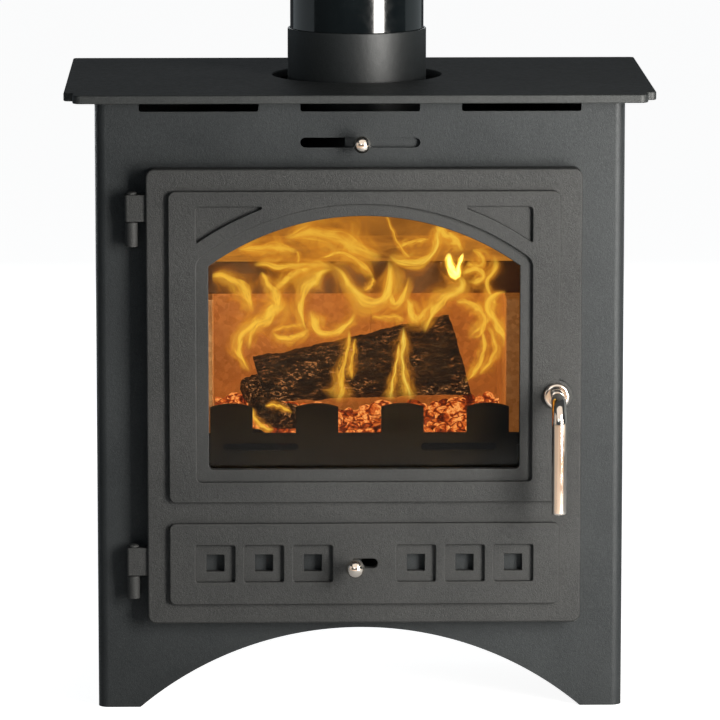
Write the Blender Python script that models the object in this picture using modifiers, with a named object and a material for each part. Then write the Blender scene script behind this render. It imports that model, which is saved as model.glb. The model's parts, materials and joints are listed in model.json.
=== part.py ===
"""Wood burning stove: a sheet-steel casing round a brick-lined firebox, with a
cast door hung on two pinned hinges, a turning handle with a latch cam, two
sliding air controls, a lift-out log guard and a top flue outlet.

Units in the tables below are millimetres. The design frame has X to the right,
Y to the back with the casing's front face at Y = 0, and Z up from the floor.
The finished model is in metres, with its origin on the floor below the middle
of its bounding box.
"""
import math

import bmesh
import bpy
from mathutils import Matrix, Vector

# ---------------------------------------------------------------- dimensions
MM = 0.001
GAP = 0.3                      # space between neighbouring pieces

# overall
HANDLE_FRONT_Y = -82.0         # foremost point: front of the handle bar
TOP_BACK_Y = 313.0             # rearmost point: back edge of the top plate
Y_MID = (HANDLE_FRONT_Y + TOP_BACK_Y) / 2.0

# casing
CASE_HALF = 250.0
CASE_DEPTH = 305.0
CASE_TOP = 581.7
SHEET = 4.0
CASE_CORNER = 10.0
FLANGE = 24.0
ARCH_HALF = 210.0
ARCH_RISE = 77.0
VENT_XS = (-152.0, 0.0, 152.0)
VENT_HALF = 56.3
VENT_LOW = 572.0
AIRWASH_Z = 542.6
AIRWASH_HALF = 56.6
AIRWASH_R = 4.8

# top plate and flue
PLATE_LOW, PLATE_HIGH = 582.0, 590.0
PLATE_HALF = 279.0
PLATE_LIP_HALF = 270.0
PLATE_LIP_Y = -24.0
FLUE_Y = 163.0
FLUE_HOLE_R = 81.75
COLLAR_R = 67.0
COLLAR_BORE_R = 65.0
COLLAR_TOP = 635.5
PIPE_R = 64.5
PIPE_BORE_R = 62.5
PIPE_LOW, PIPE_TOP = 600.3, 750.0
GAS_WAY_R = 60.5

# door
DOOR_X = 3.3
DOOR_HALF = 205.4
DOOR_LOW, DOOR_HIGH = 85.3, 520.1
DOOR_BASE_FRONT, DOOR_BASE_BACK = -20.0, -12.0
FIELD_FRONT, FIELD_FLOOR = -25.0, -20.5
FIELD_HALF = 184.4
FIELD_LOW, FIELD_HIGH = 202.5, 499.7
LOWER_FIELD_LOW, LOWER_FIELD_HIGH = 104.3, 182.6
WINDOW_HALF, WINDOW_LOW, WINDOW_APEX, WINDOW_SPRING = 146.8, 234.0, 475.5, 428.0
BAND = 11.5
CORNER_RECESS_HALF, CORNER_RECESS_TOP, CORNER_RECESS_R = 158.3, 484.7, 275.6
VENT_SQ_XS = (-141.3, -95.2, -48.9, 48.9, 95.2, 141.3)
VENT_SQ_Z = 143.8
VENT_RECESS = (19.0, 18.0)
VENT_HOLE = (8.5, 8.0)
PRIMARY_SLOT_HALF = 12.9
PRIMARY_SLOT_R = 4.75
PRIMARY_REST_X = -8.9
PRIMARY_TRAVEL = 17.8
RIM = 5.4
ROPE_IN, ROPE_OUT = 168.5, 175.5
OPENING_HALF = 165.0
OPENING_LOW, OPENING_HIGH = 112.0, 493.0

# glass
GLASS_MARGIN = 10.0
GLASS_FRONT, GLASS_BACK = -9.6, -5.6

# hinges
HINGE_X, HINGE_Y = -215.6, -11.0
KNUCKLE_R = 6.1
PIN_R, PIN_BORE_R = 4.0, 4.3
HINGES = {"upper": (446.0, 469.2, 470.0, 495.5),
          "lower": (108.5, 130.4, 131.2, 158.0)}

# handle
HANDLE_X, HANDLE_Z = 185.0, 304.5
HANDLE_R = 7.0
HANDLE_REACH_Y = -75.0
HANDLE_BEND = 20.0
HANDLE_END_Z = 199.6

# air controls
AIRWASH_KNOB_X = 1.4
AIRWASH_KNOB_Y = -17.0
AIRWASH_KNOB_R = 8.25
PRIMARY_KNOB_Y = -50.0
PRIMARY_KNOB_R = 8.75

# firebox
BOX_HALF = 167.0
WALL = 4.0
BOX_BACK = 256.0
BOX_FLOOR_LOW = 108.0
BOX_TOP = 500.0
BRICK_IN = 140.0
BRICK_LOW, BRICK_HIGH = 192.0, 387.6
BRICK_BACK_Y = 230.0
BRICK_JOINT_X = 15.0           # upright joint between the two back bricks
BAFFLE_LOW, BAFFLE_HIGH = 388.0, 419.0
GRATE_TOP = 202.0
GUARD_Y0, GUARD_Y1 = 25.5, 28.5
GUARD_HALF = 157.0
GUARD_LINE, GUARD_SHOULDER, GUARD_APEX = 261.0, 286.0, 289.6

# ------------------------------------------------------------------ finishes
# name: (base colour, roughness, metallic)
FINISHES = {
    "sheet_paint": ((0.045, 0.046, 0.048, 1), 0.55, 0.35),
    "cast_paint": ((0.050, 0.051, 0.054, 1), 0.62, 0.40),
    "gloss_enamel": ((0.010, 0.010, 0.011, 1), 0.10, 0.0),
    "chrome": ((0.80, 0.80, 0.80, 1), 0.08, 1.0),
    "zinc_steel": ((0.50, 0.50, 0.50, 1), 0.35, 1.0),
    "black_steel": ((0.030, 0.029, 0.028, 1), 0.70, 0.30),
    "firebrick": ((0.62, 0.44, 0.27, 1), 0.95, 0.0),
    "door_glass": ((0.55, 0.42, 0.30, 1), 0.03, 0.0),
    "fibre_rope": ((0.16, 0.155, 0.15, 1), 0.95, 0.0),
}


# ------------------------------------------------------------------- helpers
def clear_scene():
    for ob in list(bpy.data.objects):
        bpy.data.objects.remove(ob, do_unlink=True)


def collection(name):
    col = bpy.data.collections.new(name)
    bpy.context.scene.collection.children.link(col)
    return col


clear_scene()
PARTS = collection("wood_burning_stove")


def material(name, finish):
    colour, rough, metal = FINISHES[finish]
    mat = bpy.data.materials.new(name + "_" + finish)
    mat.use_nodes = True
    bsdf = mat.node_tree.nodes["Principled BSDF"]
    bsdf.inputs["Base Color"].default_value = colour
    bsdf.inputs["Roughness"].default_value = rough
    bsdf.inputs["Metallic"].default_value = metal
    if finish == "door_glass":
        bsdf.inputs["Alpha"].default_value = 0.35
    return mat


def to_world(matrix_free_point):
    x, y, z = matrix_free_point
    return Vector((x * MM, (y - Y_MID) * MM, z * MM))


def arc(cx, cy, r, a0, a1, n):
    """n + 1 points on an arc, angles in degrees."""
    return [(cx + r * math.cos(math.radians(a0 + (a1 - a0) * i / n)),
             cy + r * math.sin(math.radians(a0 + (a1 - a0) * i / n)))
            for i in range(n + 1)]


def circle(cx, cy, r, n):
    return [(cx + r * math.cos(2 * math.pi * i / n),
             cy + r * math.sin(2 * math.pi * i / n)) for i in range(n)]


def fillet(points, radii, seg=3):
    """A closed outline with each corner rounded to its radius."""
    out = []
    count = len(points)
    if not isinstance(radii, (list, tuple)):
        radii = [radii] * count
    for i, corner in enumerate(points):
        r = radii[i]
        p = Vector(corner)
        if r <= 0:
            out.append(tuple(p))
            continue
        a = (Vector(points[i - 1]) - p).normalized()
        b = (Vector(points[(i + 1) % count]) - p).normalized()
        half = a.angle(b) / 2
        reach = r / math.tan(half)
        centre = p + (a + b).normalized() * (r / math.sin(half))
        start = p + a * reach - centre
        end = p + b * reach - centre
        a0 = math.atan2(start.y, start.x)
        turn = math.atan2(end.y, end.x) - a0
        while turn > math.pi:
            turn -= 2 * math.pi
        while turn < -math.pi:
            turn += 2 * math.pi
        for k in range(seg + 1):
            t = a0 + turn * k / seg
            out.append((centre.x + r * math.cos(t), centre.y + r * math.sin(t)))
    return out


def rect(x0, x1, y0, y1, r=0.0, seg=3):
    return fillet([(x0, y0), (x1, y0), (x1, y1), (x0, y1)], r, seg)


def slot(cx, cy, half, r, seg=5):
    """A slot with round ends, lying along the first axis."""
    return (arc(cx + half - r, cy, r, -90, 90, seg)
            + arc(cx - half + r, cy, r, 90, 270, seg))


def new_object(name, mesh):
    ob = bpy.data.objects.new(name, mesh)
    PARTS.objects.link(ob)
    return ob


def weld(mesh, distance=0.000002):
    bm = bmesh.new()
    bm.from_mesh(mesh)
    bmesh.ops.remove_doubles(bm, verts=bm.verts, dist=distance)
    bmesh.ops.dissolve_degenerate(bm, edges=bm.edges, dist=distance)
    bmesh.ops.recalc_face_normals(bm, faces=bm.faces)
    bm.to_mesh(mesh)
    bm.free()


def solidify_object(ob):
    """Replace a curve, or an object with modifiers, by its finished mesh."""
    deps = bpy.context.evaluated_depsgraph_get()
    deps.update()
    mesh = bpy.data.meshes.new_from_object(ob.evaluated_get(deps))
    matrix = ob.matrix_world.copy()
    name = ob.name
    bpy.data.objects.remove(ob, do_unlink=True)
    weld(mesh)
    out = new_object(name, mesh)
    out.name = name
    mesh.name = name
    out.matrix_world = matrix
    return out


TURNS = {
    "XZ": Matrix.Rotation(math.pi / 2, 4, "X"),
    "XY": Matrix.Identity(4),
    "YZ": Matrix.Rotation(math.pi / 2, 4, "Z") @ Matrix.Rotation(math.pi / 2, 4, "X"),
}


def plate(name, plane, outlines, low, high):
    """A flat outline, with holes, extruded from low to high along the third
    axis. Outlines are in design coordinates."""
    curve = bpy.data.curves.new(name, "CURVE")
    curve.dimensions = "2D"
    curve.fill_mode = "BOTH"
    curve.extrude = (high - low) / 2 * MM
    shift = {"XZ": (0.0, 0.0), "XY": (0.0, -Y_MID), "YZ": (-Y_MID, 0.0)}[plane]
    for outline in outlines:
        spline = curve.splines.new("POLY")
        spline.points.add(len(outline) - 1)
        for point, (u, v) in zip(spline.points, outline):
            point.co = ((u + shift[0]) * MM, (v + shift[1]) * MM, 0.0, 1.0)
        spline.use_cyclic_u = True
    ob = bpy.data.objects.new(name, curve)
    PARTS.objects.link(ob)
    mid = (low + high) / 2
    place = {"XZ": Vector((0, (mid - Y_MID) * MM, 0)),
             "XY": Vector((0, 0, mid * MM)),
             "YZ": Vector((mid * MM, 0, 0))}[plane]
    ob.matrix_world = Matrix.Translation(place) @ TURNS[plane]
    bpy.context.view_layer.update()
    return solidify_object(ob)


def box(name, x0, x1, y0, y1, z0, z1):
    mesh = bpy.data.meshes.new(name)
    bm = bmesh.new()
    bmesh.ops.create_cube(bm, size=1.0)
    bmesh.ops.scale(bm, verts=bm.verts, vec=((x1 - x0) * MM, (y1 - y0) * MM, (z1 - z0) * MM))
    bm.to_mesh(mesh)
    bm.free()
    ob = new_object(name, mesh)
    ob.location = to_world(((x0 + x1) / 2, (y0 + y1) / 2, (z0 + z1) / 2))
    return ob


def turned(name, axis, centre, profile, steps, closed=False):
    """A turned solid: profile points are (radius, position along the axis).
    The axis is Y or Z through centre, given as (x, z) or (x, y)."""
    mesh = bpy.data.meshes.new(name)
    verts = [(r * MM, 0.0, t * MM) for r, t in profile]
    edges = [(i, i + 1) for i in range(len(verts) - 1)]
    if closed:
        edges.append((len(verts) - 1, 0))
    mesh.from_pydata(verts, edges, [])
    ob = new_object(name, mesh)
    screw = ob.modifiers.new("Screw", "SCREW")
    screw.axis = "Z"
    screw.angle = 2 * math.pi
    screw.steps = steps
    screw.render_steps = steps
    screw.use_merge_vertices = True
    screw.merge_threshold = 0.000005
    if axis == "Z":
        ob.location = to_world((centre[0], centre[1], 0.0))
    else:
        # profile positions are design Y values
        ob.matrix_world = (Matrix.Translation(Vector((centre[0] * MM, -Y_MID * MM, centre[1] * MM)))
                           @ Matrix.Rotation(-math.pi / 2, 4, "X"))
    bpy.context.view_layer.update()
    return solidify_object(ob)


def disc(name, axis, centre, r, low, high, steps):
    """A plain cylinder along Y or Z."""
    return plate(name, "XZ" if axis == "Y" else "XY",
                 [circle(centre[0], centre[1], r, steps)], low, high)


def combine(target, others, operation, solver="EXACT"):
    """Boolean each of the others into the target, then remove them."""
    for other in others:
        mod = target.modifiers.new("Boolean", "BOOLEAN")
        mod.operation = operation
        mod.solver = solver
        mod.object = other
        bpy.context.view_layer.update()
        deps = bpy.context.evaluated_depsgraph_get()
        deps.update()
        mesh = bpy.data.meshes.new_from_object(target.evaluated_get(deps))
        target.modifiers.clear()
        target.data = mesh
        bpy.data.objects.remove(other, do_unlink=True)
    weld(target.data)
    return target


def cut(target, *cutters):
    return combine(target, cutters, "DIFFERENCE")


def join(target, *others):
    return combine(target, others, "UNION")


def tidy(ob, dissolve=0.02):
    """Merge the flat triangles that a Boolean leaves into whole faces."""
    bm = bmesh.new()
    bm.from_mesh(ob.data)
    bmesh.ops.dissolve_limit(bm, angle_limit=math.radians(dissolve),
                             verts=bm.verts, edges=bm.edges)
    bm.to_mesh(ob.data)
    bm.free()
    return ob


def rod(name, points, r, resolution=3):
    curve = bpy.data.curves.new(name, "CURVE")
    curve.dimensions = "3D"
    curve.bevel_depth = r * MM
    curve.bevel_resolution = resolution
    curve.use_fill_caps = True
    spline = curve.splines.new("POLY")
    spline.points.add(len(points) - 1)
    for point, co in zip(spline.points, points):
        point.co = (*to_world(co), 1.0)
    ob = bpy.data.objects.new(name, curve)
    PARTS.objects.link(ob)
    bpy.context.view_layer.update()
    return solidify_object(ob)


FINISH_OF = {}


def finish(ob, finish_name, smooth=False):
    mat = material(ob.name, finish_name)
    ob.data.materials.clear()
    ob.data.materials.append(mat)
    FINISH_OF[ob.name] = finish_name
    if smooth:
        ob.data.shade_smooth()
        ob.data.set_sharp_from_angle(angle=math.radians(35))
    return ob


# ------------------------------------------------------------------- outlines
def arch_outline(half, low, radius, centre_z, corner, seg=14, cx=DOOR_X):
    """The window's outline: a straight-sided frame with a segmental head."""
    top = centre_z + math.sqrt(radius * radius - half * half)
    a = math.degrees(math.asin(half / radius))
    head = arc(cx, centre_z, radius, 90 - a, 90 + a, seg)
    low_left = fillet([(cx - half, low + 60), (cx - half, low), (cx + half, low), (cx + half, low + 60)],
                      [0, corner, corner, 0], 3)[1:-1]
    return low_left + head


WINDOW_R = (WINDOW_HALF ** 2 + (WINDOW_APEX - WINDOW_SPRING) ** 2) / (2 * (WINDOW_APEX - WINDOW_SPRING))
WINDOW_CZ = WINDOW_APEX - WINDOW_R


def window_outline(grow, corner=4.0, seg=14):
    return arch_outline(WINDOW_HALF + grow, WINDOW_LOW - grow, WINDOW_R + grow,
                        WINDOW_CZ, corner, seg)


def corner_recess(side):
    """The three-cornered recess above the window's shoulder."""
    half, top, r = CORNER_RECESS_HALF, CORNER_RECESS_TOP, CORNER_RECESS_R
    a_tip = math.degrees(math.asin((top - WINDOW_CZ) / r))
    a_low = math.degrees(math.acos(half / r))
    pts = [(half, top)] + arc(0, WINDOW_CZ, r, a_tip, a_low, 5)
    pts = [(DOOR_X + side * x, z) for x, z in pts]
    return pts if side > 0 else pts[::-1]


def door_rect(half, low, high, r, seg=4):
    return rect(DOOR_X - half, DOOR_X + half, low, high, r, seg)


# --------------------------------------------------------------- outer casing
def build_casing():
    c = CASE_HALF
    i = CASE_HALF - SHEET
    d = CASE_DEPTH
    outline = fillet([(-c, d), (-c, 0), (c, 0), (c, d),
                      (c - FLANGE, d), (c - FLANGE, d - SHEET), (i, d - SHEET),
                      (i, SHEET), (-i, SHEET), (-i, d - SHEET),
                      (-c + FLANGE, d - SHEET), (-c + FLANGE, d)],
                     [0, CASE_CORNER, CASE_CORNER, 0, 0, 0, 0,
                      CASE_CORNER - SHEET, CASE_CORNER - SHEET, 0, 0, 0], 4)
    casing = plate("body_casing", "XY", [outline], 0.0, CASE_TOP)
    r = (ARCH_HALF ** 2 + ARCH_RISE ** 2) / (2 * ARCH_RISE)
    cz = ARCH_RISE - r
    a = math.degrees(math.asin(ARCH_HALF / r))
    arch = arc(0, cz, r, 90 - a, 90 + a, 20) + [(-ARCH_HALF, -10), (ARCH_HALF, -10)]
    holes = [door_rect(OPENING_HALF, OPENING_LOW, OPENING_HIGH, 6.0), arch,
             slot(0, AIRWASH_Z, AIRWASH_HALF, AIRWASH_R)]
    for x in VENT_XS:
        holes.append(fillet([(x - VENT_HALF, VENT_LOW), (x + VENT_HALF, VENT_LOW),
                             (x + VENT_HALF, CASE_TOP + 8), (x - VENT_HALF, CASE_TOP + 8)],
                            [2, 2, 0, 0], 2))
    casing = cut(casing, plate("cut_front", "XZ", holes, -6.0, 12.0))
    screw_holes = [circle(x, z, 2.4, 12) for x in (-237, 237) for z in (120, 540)]
    casing = cut(casing, plate("cut_back", "XZ", screw_holes, CASE_DEPTH - 9, CASE_DEPTH + 4))
    return finish(tidy(casing), "sheet_paint")


build_casing()

finish(plate("back_panel", "XZ",
             [rect(-244, 244, 84, 581.4, 4, 2)] + [circle(x, z, 2.4, 12) for x in (-237, 237) for z in (120, 540)],
             CASE_DEPTH + GAP, CASE_DEPTH + GAP + 2.0), "sheet_paint")
for n, (x, z) in enumerate([(-237, 120), (237, 120), (-237, 540), (237, 540)], 1):
    finish(turned("back_screw_%d" % n, "Y", (x, z),
                  [(0, 298.5), (2.0, 298.5), (2.0, 307.6), (4.4, 307.6), (4.4, 308.9), (3.2, 310.3), (0, 310.6)][::-1],
                  12), "zinc_steel", True)

finish(plate("base_shield", "XY", [rect(-243, 243, 7, 299, 6, 2)], 80, 82), "black_steel")

plate_outline = fillet([(-PLATE_HALF, TOP_BACK_Y), (-PLATE_HALF, 0), (-PLATE_LIP_HALF, 0),
                        (-PLATE_LIP_HALF, PLATE_LIP_Y), (PLATE_LIP_HALF, PLATE_LIP_Y),
                        (PLATE_LIP_HALF, 0), (PLATE_HALF, 0), (PLATE_HALF, TOP_BACK_Y)],
                       [4, 4, 3, 8, 8, 3, 4, 4], 4)
finish(plate("top_plate", "XY", [plate_outline, circle(0, FLUE_Y, FLUE_HOLE_R, 48)],
             PLATE_LOW, PLATE_HIGH), "sheet_paint")

finish(turned("flue_collar", "Z", (0, FLUE_Y),
              [(GAS_WAY_R, 504.6), (GAS_WAY_R, 600.0), (COLLAR_BORE_R, 600.0), (COLLAR_BORE_R, 634.9),
               (65.4, COLLAR_TOP), (66.2, COLLAR_TOP), (COLLAR_R, 634.7), (COLLAR_R, 512.0),
               (79.0, 510.0), (79.0, 504.6)], 40, True), "cast_paint", True)
finish(turned("flue_pipe", "Z", (0, FLUE_Y),
              [(PIPE_BORE_R, PIPE_LOW), (PIPE_BORE_R, PIPE_TOP), (PIPE_R, PIPE_TOP), (PIPE_R, PIPE_LOW)],
              40, True), "gloss_enamel", True)

# -------------------------------------------------------------------- firebox
finish(plate("front_frame", "XZ",
             [rect(-215, 215, 86, 518, 6, 2),
              door_rect(OPENING_HALF - 5, OPENING_LOW + 1, OPENING_HIGH - 6, 5)],
             SHEET + GAP, SHEET + GAP + 5.0), "black_steel")
for side, sx in (("left", -1), ("right", 1)):
    xs = sorted((sx * BOX_HALF, sx * (BOX_HALF + WALL)))
    finish(box("firebox_wall_" + side, xs[0], xs[1], 9.6, BOX_BACK - GAP, 92, BOX_TOP), "black_steel")
finish(box("firebox_back", -BOX_HALF - WALL, BOX_HALF + WALL, BOX_BACK, BOX_BACK + WALL, 92, BOX_TOP),
       "black_steel")
finish(plate("firebox_roof", "XY",
             [rect(-BOX_HALF - WALL, BOX_HALF + WALL, 9.6, BOX_BACK + WALL),
              circle(0, FLUE_Y, GAS_WAY_R + 0.5, 40)], BOX_TOP + GAP, BOX_TOP + GAP + WALL), "black_steel")
finish(box("firebox_floor", -BOX_HALF + GAP, BOX_HALF - GAP, 9.6, BOX_BACK - GAP,
           BOX_FLOOR_LOW, BOX_FLOOR_LOW + WALL), "black_steel")

for side, sx in (("left", -1), ("right", 1)):
    xs = sorted((sx * BRICK_IN, sx * (BOX_HALF - 0.4)))
    finish(box("brick_" + side, xs[0], xs[1], 40.0, BOX_BACK - 0.4, BRICK_LOW, BRICK_HIGH), "firebrick")
for side, x0, x1 in (("left", -BRICK_IN + 0.4, BRICK_JOINT_X - 0.2), ("right", BRICK_JOINT_X + 0.2, BRICK_IN - 0.4)):
    finish(box("brick_back_" + side, x0, x1, BRICK_BACK_Y, BOX_BACK - 0.4, BRICK_LOW, BRICK_HIGH), "firebrick")
finish(box("baffle_board", -BOX_HALF + 0.4, BOX_HALF - 0.4, 75.0, BOX_BACK - 0.4,
           BAFFLE_LOW, BAFFLE_HIGH), "firebrick")

grate_slots = [rect(-112 + 28 * k - 4.5, -112 + 28 * k + 4.5, 62, 210, 3, 1) for k in range(9)]
finish(plate("grate", "XY", [rect(-139.2, 139.2, 42, 229.6, 4, 2)] + grate_slots,
             192.0, GRATE_TOP), "cast_paint")
for side, sx in (("left", -1), ("right", 1)):
    o = BOX_HALF - GAP
    pts = [(o, 165.0), (o, 191.7), (128.0, 191.7), (128.0, 188.7), (o - 3, 188.7), (o - 3, 165.0)]
    ob = plate("grate_rail_" + side, "XZ", [[(sx * x, z) for x, z in pts]], 12.0, BOX_BACK - 1.0)
    finish(ob, "black_steel")
    chan = [(o, 20.5), (150.0, 20.5), (150.0, 24.7), (160.5, 24.7), (160.5, 29.3),
            (150.0, 29.3), (150.0, 33.5), (o, 33.5)]
    finish(plate("guard_bracket_" + side, "XY", [[(sx * x, y) for x, y in chan]], 192.0, 250.0),
           "black_steel")


def guard_outline():
    pts = [(-GUARD_HALF, 192.2), (GUARD_HALF, 192.2), (GUARD_HALF, GUARD_LINE)]
    for cx in (122.2, 40.7, -40.7, -122.2):
        w = 20.2
        pts.append((cx + w, GUARD_LINE))
        rise = GUARD_APEX - GUARD_SHOULDER
        r = (w * w + rise * rise) / (2 * rise)
        a = math.degrees(math.asin(w / r))
        pts += arc(cx, GUARD_APEX - r, r, 90 - a, 90 + a, 5)
        pts.append((cx - w, GUARD_LINE))
    pts.append((-GUARD_HALF, GUARD_LINE))
    return pts


finish(plate("log_guard", "XZ",
             [guard_outline(), slot(94.5, 247.5, 36.0, 3.5, 3), slot(-94.5, 247.5, 36.0, 3.5, 3)],
             GUARD_Y0, GUARD_Y1), "black_steel")

pan = box("ash_pan", -118, 118, 32, 222, 112.3, 165)
pan = cut(pan, box("cut_pan", -116, 116, 34, 220, 114.3, 175))
finish(tidy(pan), "black_steel")
finish(rod("ash_pan_handle", [(-36, 31.7, 150), (-36, 22, 150), (-34.8, 19.2, 150), (-32, 18, 150),
                              (32, 18, 150), (34.8, 19.2, 150), (36, 22, 150), (36, 31.7, 150)], 2.5, 2),
       "zinc_steel", True)

# ----------------------------------------------------------- airwash control
for side, s in (("upper", 1), ("lower", -1)):
    z = AIRWASH_Z
    pts = [(SHEET + GAP, z + s * 11.7), (SHEET + GAP, z + s * 19.5), (8.8, z + s * 19.5),
           (8.8, z + s * 6.0), (6.9, z + s * 6.0), (6.9, z + s * 11.7)]
    finish(plate("airwash_guide_" + side, "YZ", [pts], -76.0, 184.0), "black_steel")
finish(plate("airwash_slider", "XZ",
             [rect(-14.6, 125, AIRWASH_Z - 11.2, AIRWASH_Z + 11.2, 2, 2),
              circle(AIRWASH_KNOB_X, AIRWASH_Z, 2.6, 12)], SHEET + GAP, SHEET + GAP + 2.0), "zinc_steel")


def knob_profile(centre, r, neck_r, neck_end, stem_r, stem_end):
    """A ball with a neck and a thinner stem, from the front to the back."""
    a_end = math.degrees(math.asin(neck_r / r))
    ball = [(r * math.sin(math.radians(a)), centre - r * math.cos(math.radians(a)))
            for a in [180 * 0 + (180 - a_end) * k / 9 for k in range(10)]]
    ball[0] = (0.0, centre - r)
    return ball + [(neck_r, neck_end), (stem_r, neck_end), (stem_r, stem_end), (0.0, stem_end)]


finish(turned("airwash_knob", "Y", (AIRWASH_KNOB_X, AIRWASH_Z),
              knob_profile(AIRWASH_KNOB_Y, AIRWASH_KNOB_R, 3.4, -1.0, 2.2, 9.0)[::-1], 20), "chrome", True)

# --------------------------------------------------------------------- hinges
for side, (k_low, k_high, l_low, l_high) in HINGES.items():
    knuckle = disc("hinge_knuckle_" + side, "Z", (HINGE_X, HINGE_Y), KNUCKLE_R, k_low, k_high, 20)
    foot = box("foot", HINGE_X - 5.9, HINGE_X + 4.1, HINGE_Y + 0.5, -GAP, k_low + 0.4, k_high - 0.4)
    knuckle = join(knuckle, foot)
    knuckle = cut(knuckle, disc("bore", "Z", (HINGE_X, HINGE_Y), PIN_BORE_R, k_low + 3, k_high + 3, 20))
    finish(tidy(knuckle), "cast_paint", True)
    finish(turned("hinge_pin_" + side, "Z", (HINGE_X, HINGE_Y),
                  [(0, l_high + 2.8), (4.2, l_high + 2.6), (5.2, l_high + 1.8), (5.2, l_high + GAP),
                   (PIN_R, l_high + GAP), (PIN_R, k_low + 3.3), (0, k_low + 3.3)], 20), "cast_paint", True)

finish(plate("catch_keeper", "YZ",
             [[(-GAP, 262), (-GAP, 281), (-8.4, 281), (-8.4, 289.8), (-10.6, 289.8), (-10.6, 278.8),
               (-2.5, 278.8), (-2.5, 262)]], 179.0, 197.0), "zinc_steel")


# ----------------------------------------------------------------------- door
def build_door():
    vents = [rect(DOOR_X + x - VENT_HOLE[0], DOOR_X + x + VENT_HOLE[0],
                  VENT_SQ_Z - VENT_HOLE[1], VENT_SQ_Z + VENT_HOLE[1]) for x in VENT_SQ_XS]
    recesses = [rect(DOOR_X + x - VENT_RECESS[0], DOOR_X + x + VENT_RECESS[0],
                     VENT_SQ_Z - VENT_RECESS[1], VENT_SQ_Z + VENT_RECESS[1], 1.5, 2) for x in VENT_SQ_XS]
    control_slot = slot(DOOR_X, VENT_SQ_Z, PRIMARY_SLOT_HALF, PRIMARY_SLOT_R, 4)

    def grown_vents(g):
        return [rect(DOOR_X + x - VENT_HOLE[0] - g, DOOR_X + x + VENT_HOLE[0] + g,
                     VENT_SQ_Z - VENT_HOLE[1] - g, VENT_SQ_Z + VENT_HOLE[1] + g) for x in VENT_SQ_XS]

    base = plate("door_casting", "XZ",
                 [door_rect(DOOR_HALF, DOOR_LOW, DOOR_HIGH, 8), window_outline(0.4, 4.4)]
                 + grown_vents(0.3) + [slot(DOOR_X, VENT_SQ_Z, PRIMARY_SLOT_HALF + 0.3, PRIMARY_SLOT_R + 0.3, 4)],
                 DOOR_BASE_FRONT, DOOR_BASE_BACK)
    layers = [
        plate("u1", "XZ", [door_rect(FIELD_HALF + 0.25, FIELD_LOW - 0.25, FIELD_HIGH + 0.25, 7.25), window_outline(0)],
              FIELD_FLOOR, DOOR_BASE_FRONT + 1.0),
        plate("u2", "XZ", [door_rect(FIELD_HALF, FIELD_LOW, FIELD_HIGH, 7), window_outline(BAND, 3.0),
                           corner_recess(1), corner_recess(-1)], FIELD_FRONT, FIELD_FLOOR + 1.0),
        plate("l1", "XZ", [door_rect(FIELD_HALF + 0.25, LOWER_FIELD_LOW - 0.25, LOWER_FIELD_HIGH + 0.25, 6.25),
                           control_slot] + vents, FIELD_FLOOR, DOOR_BASE_FRONT + 1.0),
        plate("l2", "XZ", [door_rect(FIELD_HALF, LOWER_FIELD_LOW, LOWER_FIELD_HIGH, 6),
                           slot(DOOR_X, VENT_SQ_Z, PRIMARY_SLOT_HALF + 0.2, PRIMARY_SLOT_R + 0.2, 4)] + recesses,
              FIELD_FRONT, FIELD_FLOOR + 1.0),
        disc("boss", "Y", (HANDLE_X, HANDLE_Z), 15.0, FIELD_FRONT - 0.15, DOOR_BASE_FRONT + 1.5, 32),
        plate("rim", "XZ", [door_rect(DOOR_HALF - 0.3, DOOR_LOW + 0.3, DOOR_HIGH - 0.3, 7.7),
                            door_rect(DOOR_HALF - RIM, DOOR_LOW + RIM, DOOR_HIGH - RIM, 4)],
              DOOR_BASE_BACK - 1.0, -2.0),
    ]
    for x in (-163, 163):
        for z in (262, 408):
            layers.append(disc("clip_boss", "Y", (DOOR_X + x, z), 4.0, DOOR_BASE_BACK - 1.0, GLASS_BACK, 16))
    for k_low, k_high, l_low, l_high in HINGES.values():
        layers.append(plate("lug", "XY", [rect(HINGE_X - KNUCKLE_R, DOOR_X - DOOR_HALF + 3.0, HINGE_Y - KNUCKLE_R,
                                               HINGE_Y + 5.2, 2.4, 3)], l_low, l_high))
    door = combine(base, layers, "UNION", "MANIFOLD")
    bores = [disc("spindle_bore", "Y", (HANDLE_X, HANDLE_Z), 5.4, FIELD_FRONT - 3, -8, 20)]
    for k_low, k_high, l_low, l_high in HINGES.values():
        bores.append(disc("lug_bore", "Z", (HINGE_X, HINGE_Y), PIN_BORE_R, l_low - 2, l_high + 2, 20))
    for x in (-163, 163):
        for z in (262, 408):
            bores.append(disc("clip_bore", "Y", (DOOR_X + x, z), 1.8, DOOR_BASE_BACK + 0.5, GLASS_BACK + 2, 10))
    door = combine(door, bores, "DIFFERENCE", "MANIFOLD")
    return finish(door, "cast_paint")


build_door()

finish(plate("door_rope_seal", "XZ",
             [door_rect(ROPE_OUT, OPENING_LOW - 10.5, OPENING_HIGH + 10.5, 12, 5),
              door_rect(ROPE_IN, OPENING_LOW - 3.5, OPENING_HIGH + 3.5, 6, 5)],
             DOOR_BASE_BACK + GAP, -GAP), "fibre_rope")
finish(plate("glass_gasket", "XZ", [window_outline(GLASS_MARGIN - 0.8, 3), window_outline(1.5, 4)],
             DOOR_BASE_BACK + GAP, GLASS_FRONT - GAP), "fibre_rope")
finish(plate("door_glass", "XZ", [window_outline(GLASS_MARGIN, 3)], GLASS_FRONT, GLASS_BACK), "door_glass")

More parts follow.
